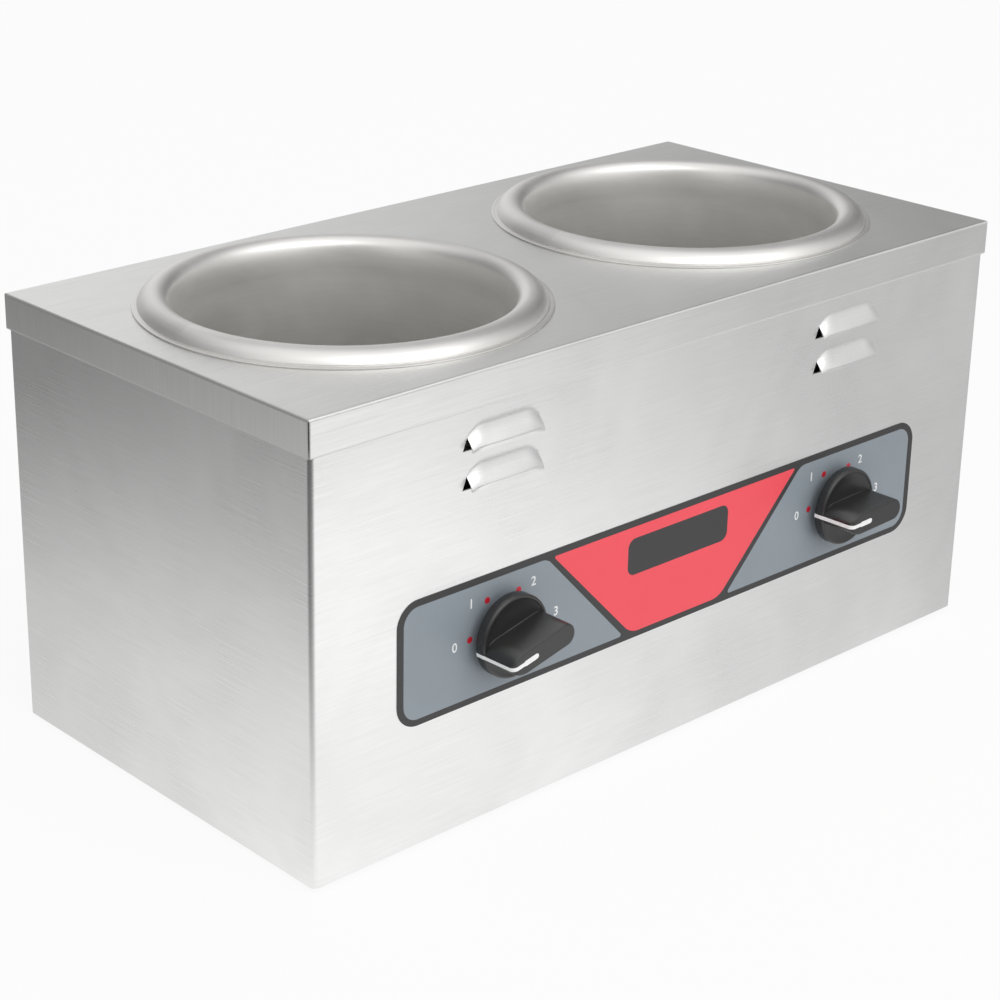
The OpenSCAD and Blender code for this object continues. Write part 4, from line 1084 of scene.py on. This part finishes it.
def grip_shell():
    bm = bmesh.new()
    directions = grip_directions()
    levels = [(FACE_H + h, inset) for h, inset in FILLET]
    levels += [(h, 0.0) for h in even_steps(FACE_H + FILLET[-1][0], TURN_H, 7)]
    levels += [(h, 0.0) for h in even_steps(TURN_H, KNOB_FRONT - SIDE_ROUND, 4)]
    levels += [(KNOB_FRONT - SIDE_ROUND + SIDE_ROUND * sin_deg(a), SIDE_ROUND * (1 - cos_deg(a)))
               for a in (15, 30, 45, 60, 75, 90)]
    rings = []
    for h, inset in levels:
        ring = []
        for a in directions:
            r = grip_radius(a, h, max(inset, 0.0))
            if inset < 0:
                r -= inset * (1 - smooth_step((r - SPREAD_FROM) / SPREAD_RUN))
            ring.append((r * math.cos(a), r * math.sin(a), h))
        rings.append(ring)
    for shrink in (0.94, 0.75, 0.45, 0.2):
        rings.append([(x * shrink, y * shrink, KNOB_FRONT) for x, y, _ in ring])
    close_shell(bm, rings)
    return bm


def pointer_shell():
    """A white ribbon up the skirt's wall, the nose and along the front, with a wide pad."""
    path = [(SKIRT_R + PROUD, h, 1.0, 0.0, RIBBON_W) for h in (5.12, 7, 9, 9.9)]
    path += [(turned_radius(h) + PROUD, h, 1.0, 0.0, RIBBON_W)
             for h in (10.3, 12, 15, 18, 21, 24, 27)]
    path += [(GRIP_FRONT_R - FRONT_ROUND + (FRONT_ROUND + PROUD) * cos_deg(a),
              TURN_H + (FRONT_ROUND + PROUD) * sin_deg(a), cos_deg(a), sin_deg(a), RIBBON_W)
             for a in (10, 20, 30, 45, 60, 75, 90)]
    path += [(x, KNOB_FRONT + PROUD, 0.0, 1.0, w) for x, w in PAD_LINE]
    rings = []
    for x, h, nx, nh, w in path:
        deep_x, deep_h = x - nx * RIBBON_T, h - nh * RIBBON_T
        rings.append(((deep_x, -w, deep_h), (x, -w, h), (x, w, h), (deep_x, w, deep_h)))
    bm = bmesh.new()
    close_shell(bm, rings)
    return bm


for side in SIDES:
    skirt = turn_profile("skirt_" + side, [mm(r, h) for r, h in SKIRT_LINE], (0, 0, 0),
                         finishes["knob_plastic"], steps=160, angle=50)
    skirt.transform(Matrix.Scale(1000, 4))
    grip = grip_shell()
    grip.from_mesh(skirt)
    for part, shell in (("knob_", grip), ("pointer_", pointer_shell())):
        mesh = to_mesh(shell, "turn_" + part + side)
        mesh.transform(knob_frame(side))
        piece = place_piece("turn_" + part + side, mesh, [part + side])
        print(piece.name, len(mesh.polygons), "faces, at rest", REST_TURN[side], "degrees")

# %% [markdown]
# ## Feet and cord gland
# Both are turned pieces again, so they come from the same tree, with rounded edges that the plain
# solids leave out. The gland's cap has grip ribs, which are cut into its ring of points
# afterwards.

# %% Feet
FOOT_X, FOOT_Y = mm(215.5, 92.75)
FOOT_LINE = [(2.0, 3.9), (2.0, 2.55), (4.15, 2.45), (4.2, 2.3), (4.2, 0.25), (4.4, 0.04),
             (4.8, 0), (7.7, 0), (8.3, 0.15), (8.75, 0.5), (8.95, 1.0), (9, 1.5), (9, 3.6),
             (8.8, 3.9), (2.0, 3.9)]
for side, sx in SIDES.items():
    for row, sy in (("front", -1), ("rear", 1)):
        name = f"foot_{row}_{side}"
        mesh = turn_profile(name, [mm(r, z) for r, z in FOOT_LINE],
                            (sx * FOOT_X, sy * FOOT_Y, 0), finishes["foot_rubber"], steps=64)
        place_piece("rubber_" + name, mesh, [name])
print("feet: 4")


# %% The cord gland
GLAND_Y, GLAND_Z = mm(119.85), FOOT_LIFT + mm(34)
BORE_R, CAP_R, CAP_ROUND, CAP_TURN_H, GLAND_OUT = 4.5, 10.6, 4, 24, 28
RIBS, RIB_DEPTH, RIB_POWER = 18, 0.055, 0.6
HEX_FLAT, HEX_H = 11, 5
GLAND_LINE = [(BORE_R, -9.9), (7.7, -9.9), (8, -9.4), (8, 4.6), (9.6, 5.1), (10.2, 5.5),
              (10.5, 6.2), (CAP_R, 7.2)]
GLAND_LINE += [(CAP_R, h) for h in (10, 13, 16, 18.5, 20, 21, 22)]
GLAND_LINE += arc((CAP_R - CAP_ROUND, CAP_TURN_H), CAP_ROUND, 0, 75, 5)
GLAND_LINE += [(6.9, 27.98), (5.2, GLAND_OUT), (4.75, 27.85), (BORE_R, 27.5), (BORE_R, -9.9)]


def gland_mesh():
    """A hex collar and a ribbed dome nut round the bore, with the threaded end in the box."""
    mesh = turn_profile("gland_turned", [mm(r, h) for r, h in GLAND_LINE], (0, 0, 0),
                        finishes["gland_nylon"], steps=144, angle=35)
    for vert in mesh.vertices:
        x, y, h = (c * 1000 for c in vert.co)
        if math.hypot(x, y) > 10 and 5.3 < h < CAP_TURN_H:
            rib = max(0.0, math.cos(RIBS * math.atan2(y, x))) ** RIB_POWER
            ends = smooth_step((h - 6) / 1.5) * smooth_step((23.5 - h) / 2.5)
            shrink = 1 - RIB_DEPTH * (1 - rib) * ends
            vert.co.x, vert.co.y = vert.co.x * shrink, vert.co.y * shrink
    bm = bmesh.new()
    bm.from_mesh(mesh)
    corner = HEX_FLAT / cos_deg(30)
    rings = [[bm.verts.new(mm(x, y, h)) for x, y in disc_outline(0, 0, radius, 6)]
             for radius, h in ((corner * 0.93, 0.02), (corner, 0.35), (corner, HEX_H - 0.35),
                               (corner * 0.93, HEX_H))]
    faces = [*bands(bm, rings), bm.faces.new(rings[0][::-1]), bm.faces.new(rings[-1])]
    bmesh.ops.recalc_face_normals(bm, faces=faces)
    bm.to_mesh(mesh)
    bm.free()
    mesh.transform(Matrix.Translation((0, GLAND_Y, GLAND_Z))
                   @ Matrix.Rotation(-math.pi / 2, 4, "X"))
    return mesh


gland = place_piece("ribbed_gland", gland_mesh(), ["cord_gland"])
print(gland.name, len(gland.data.polygons), "faces")


# %% [markdown]
# ## Rows of screws by Geometry Nodes
# The deck, the rear panel, the pan and the feet are held by one kind of pan-head screw. One screw
# is drawn, with its cross recess and rolled thread, and a tree puts it on every point of a row,
# each spun a little differently, as screws end up. A row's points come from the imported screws
# themselves.

# %% One screw, and the tree that sets a row of them
HEAD_R, HEAD_H, SHANK_R, ROOT_R, THREAD_PITCH, ROUND_STEPS = 3.4, 1.6, 1.75, 1.45, 0.7, 32
RECESS_ARM, RECESS_HALF, RECESS_DEPTH, RECESS_TAPER = 1.8, 0.4, 0.8, 0.8


def screw_mesh(length):
    """A screw along +Z with its seat at the origin, in metres; length is below the seat, in mm."""
    bm = bmesh.new()
    line = [(2.2, HEAD_H), (2.65, 1.52), (3.05, 1.28), (3.3, 0.9), (HEAD_R, 0.5), (HEAD_R, 0.12),
            (3.28, 0), (SHANK_R, 0)]
    for k in range(int(length / THREAD_PITCH)):
        line += [(ROOT_R, -THREAD_PITCH * k - 0.35), (SHANK_R, -THREAD_PITCH * k - 0.65)]
    line += [(1.2, -length + 0.1), (0.7, -length)]
    rings = [[bm.verts.new((x, y, h)) for x, y in disc_outline(0, 0, r, ROUND_STEPS)]
             for r, h in line]
    bands(bm, rings, -1)
    bm.faces.new(rings[-1])
    a, w = RECESS_ARM, RECESS_HALF
    cross = [(a, -w), (a, w), (w, w), (w, a), (-w, a), (-w, w), (-a, w), (-a, -w), (-w, -w),
             (-w, -a), (w, -a), (w, -w)]
    rim = [bm.verts.new((x, y, HEAD_H)) for x, y in cross]
    floor = [bm.verts.new((x * RECESS_TAPER, y * RECESS_TAPER, HEAD_H - RECESS_DEPTH))
             for x, y in cross]
    edges = close_loop(bm, rim)
    edges += [bm.edges.get((rings[0][k - 1], rings[0][k])) for k in range(ROUND_STEPS)]
    bmesh.ops.triangle_fill(bm, edges=edges, use_beauty=True)
    bands(bm, (rim, floor))
    bm.faces.new(floor)
    bmesh.ops.recalc_face_normals(bm, faces=bm.faces)
    set_sharp(bm, 38)
    mesh = to_mesh(bm, "pan_screw")
    mesh.transform(Matrix.Scale(0.001, 4))
    return mesh


def make_row_tree():
    tree, given, result = new_tree(
        "screw_row", "GeometryNodeTree",
        [("Geometry", "Geometry", None), ("Screw", "Object", None),
         ("Facing", "Vector", (0, 0, 0)), ("Spin", "Float", 6.28), ("Seed", "Int", 7),
         ("Finish", "Material", None)],
        [("Geometry", "Geometry", None)])
    one = add(tree, "GeometryNodeObjectInfo", {"Object": given["Screw"]})
    row = add(tree, "GeometryNodeInstanceOnPoints", {
        "Points": given["Geometry"], "Instance": one.outputs["Geometry"],
        "Rotation": given["Facing"]})
    chance = add(tree, "FunctionNodeRandomValue", {3: given["Spin"], "Seed": given["Seed"]},
                 data_type="FLOAT")
    about = add(tree, "ShaderNodeCombineXYZ", {"Z": chance.outputs[1]})
    spun = add(tree, "GeometryNodeRotateInstances", {
        "Instances": row.outputs["Instances"], "Rotation": about.outputs[0],
        "Local Space": True})
    return end_tree(tree, spun.outputs["Instances"], given, result)


row_tree = make_row_tree()


# %% The rows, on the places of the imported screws
def screw_seats(node, axis, way):
    """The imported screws' seats in a fixed order, and the length below them.

    The screws lie along an axis (1 or 2), with their heads at its high or low end."""
    bm = merged(nodes[node].data)
    left, found = set(bm.verts), []
    while left:
        reached = {left.pop()}
        front = set(reached)
        while front:
            front = {e.other_vert(v) for v in front for e in v.link_edges} & left
            left -= front
            reached |= front
        lo, hi = ([pick(v.co[i] for v in reached) for i in range(3)] for pick in (min, max))
        seat = [(a + b) / 2 for a, b in zip(lo, hi)]
        seat[axis] = hi[axis] - mm(HEAD_H) if way > 0 else lo[axis] + mm(HEAD_H)
        found.append((seat, (hi[axis] - lo[axis]) * 1000 - HEAD_H))
    bm.free()
    found.sort()
    return [seat for seat, _ in found], found[0][1]


for node, axis, way, facing in (("deck_screws", 1, 1, (-math.pi / 2, 0, 0)),
                                ("rear_screws", 1, 1, (-math.pi / 2, 0, 0)),
                                ("bottom_screws", 2, -1, (math.pi, 0, 0)),
                                ("foot_screws", 2, -1, (math.pi, 0, 0))):
    seats, length = screw_seats(node, axis, way)
    model = link("model_screw", screw_mesh(length))
    points = bpy.data.meshes.new(node + "_points")
    points.from_pydata(seats, [], [])
    mesh = run_tree(link(node + "_row", points), row_tree, Screw=model, Facing=facing,
                    Finish=finishes["screw_steel"])
    bpy.data.objects.remove(model)
    piece = place_piece(node + "_row", mesh, [node])
    print(piece.name, len(seats), "screws", round(length, 2), "mm long")


# %% The plain nodes take their finish
for name, obj in nodes.items():
    if obj.hide_render:
        continue
    finish = finishes[slot_of[name]]
    obj.data.materials.clear()
    obj.data.materials.append(finish)
    if finish in (deck_steel, body_steel, inner_steel, plated_steel, drawn_steel):
        lay_grain(obj.data)
print("plain nodes:", sorted(n for n, o in nodes.items() if not o.hide_render))

# %% [markdown]
# ## Floor, world and lamp
# Studio ware on white: a pale floor that keeps the object's shadow, a white world, and one wide
# soft lamp in front and above. Steel mirrors its surroundings, so what it sees is made a little
# uneven. The floor is brightest in front of the body. It falls off to the left and right, towards
# the camera and beside the body. The world is greyer at the back left, to the right, round the
# camera and high up at the back. The camera itself sees both of them white.

# %% Floor
FLOOR_HALF, FLOOR_Z, FLOOR_TONE, FLOOR_GLOW = 6.0, mm(-0.2), 0.86, 0.90


def mirrored_tone(tree):
    """How bright the steel sees each place of the floor: before the body, and beside it."""
    place = axes_of(tree, object_place(tree))
    x, y = place["X"], place["Y"]
    tone = times(tree, ranged(tree, x, -0.62, -0.22, 0.22, 1.0),
                 ranged(tree, times_plus(tree, y, 0.6, x), -0.34, 0.38, 1.0, 0.52, soft=True))
    near = ranged(tree, maths(tree, "ADD", x, y), -0.95, -0.46, 0.12, 1.0)
    lift = times_plus(tree, ranged(tree, x, 0.36, 0.02, 0.0, 0.28, soft=True),
                      ranged(tree, y, -0.22, -0.42, soft=True), 1.0)
    tone = times(tree, times(tree, tone, near), lift)
    side = times(tree, ranged(tree, x, -0.62, -0.38, 0.38, 0.68),
                 ranged(tree, y, 0.02, 0.66, 1.2, 0.36))
    beside = ranged(tree, y, -0.12, 0.0)
    return add(tree, "ShaderNodeMix", {0: beside, 2: tone, 3: side}).outputs[0]


def make_floor():
    bm = bmesh.new()
    bmesh.ops.create_grid(bm, x_segments=1, y_segments=1, size=FLOOR_HALF)
    floor = link("studio_floor", to_mesh(bm, "studio_floor"))
    floor.location.z = FLOOR_Z
    material, tree, skin = new_material("studio_floor")
    feed(tree, skin, {"Base Color": (FLOOR_TONE, FLOOR_TONE, FLOOR_TONE, 1), "Roughness": 0.9,
                      "Specular IOR Level": 0.1})
    path = add(tree, "ShaderNodeLightPath").outputs
    level = add(tree, "ShaderNodeMix", {0: path["Is Camera Ray"], 2: mirrored_tone(tree), 3: 1.0})
    glow = add(tree, "ShaderNodeEmission", {"Color": (1, 1, 1, 1), "Strength": level.outputs[0]})
    sight = maths(tree, "MAXIMUM", path["Is Camera Ray"], path["Is Glossy Ray"])
    both = add(tree, "ShaderNodeMixShader", {0: times(tree, sight, FLOOR_GLOW), 1: skin.outputs[0],
                                             2: glow.outputs[0]})
    feed(tree, tree.nodes["Material Output"], {0: both.outputs[0]})
    floor.data.materials.append(material)


make_floor()

# %% World
world = bpy.data.worlds.new("studio_world")
bpy.context.scene.world = world
world.use_nodes = True
air = world.node_tree
air.nodes.clear()
sky = axes_of(air, add(air, "ShaderNodeTexCoord").outputs["Generated"])


def looking(x, y):
    """How far a direction points along a level one, given by its x and y."""
    return times_plus(air, sky["Y"], y, times(air, sky["X"], x))


behind, toward = looking(-0.63, 0.77), looking(-0.66, -0.74)
left_shade = ranged(air, behind, 0.35, 0.9, 1.0, 0.28, soft=True)
right_shade = times_plus(air, ranged(air, sky["X"], 0.40, 0.95, 0.0, -0.9, soft=True),
                         ranged(air, sky["Y"], -0.25, 0.35, 0.5, 1.0, soft=True), 1.0)
near_shade = ranged(air, toward, 0.80, 0.97, 1.0, 0.35, soft=True)
away = ranged(air, times(air, toward, -1.0), 0.15, 0.55, 0.0, -0.42, soft=True)
far_shade = times_plus(air, away, ranged(air, sky["Z"], 0.36, 0.56, soft=True), 1.0)
shade = times(air, times(air, times(air, left_shade, right_shade), near_shade), far_shade)
path = add(air, "ShaderNodeLightPath")
soft_light = add(air, "ShaderNodeBackground", {"Color": (1, 1, 1, 1), "Strength": shade})
white = add(air, "ShaderNodeBackground", {"Color": (1, 1, 1, 1), "Strength": 1.0})
pick = add(air, "ShaderNodeMixShader", {0: path.outputs["Is Camera Ray"],
                                        1: soft_light.outputs[0], 2: white.outputs[0]})
add(air, "ShaderNodeOutputWorld", {0: pick.outputs[0]})

# %% Lamp
lamp_place, lamp_target = Vector((-0.17, -1.1, 1.4)), Vector((0, 0, 0.2))
lamp_data = bpy.data.lights.new("key_box", "AREA")
lamp_data.shape = "RECTANGLE"
lamp_data.size, lamp_data.size_y = 1.6, 1.0
lamp_data.energy = 6.5
lamp = link("key_box", lamp_data)
lamp.location = lamp_place
lamp.rotation_euler = (lamp_target - lamp_place).to_track_quat("-Z", "Y").to_euler()
scene = bpy.context.scene
scene.view_settings.view_transform = "Standard"
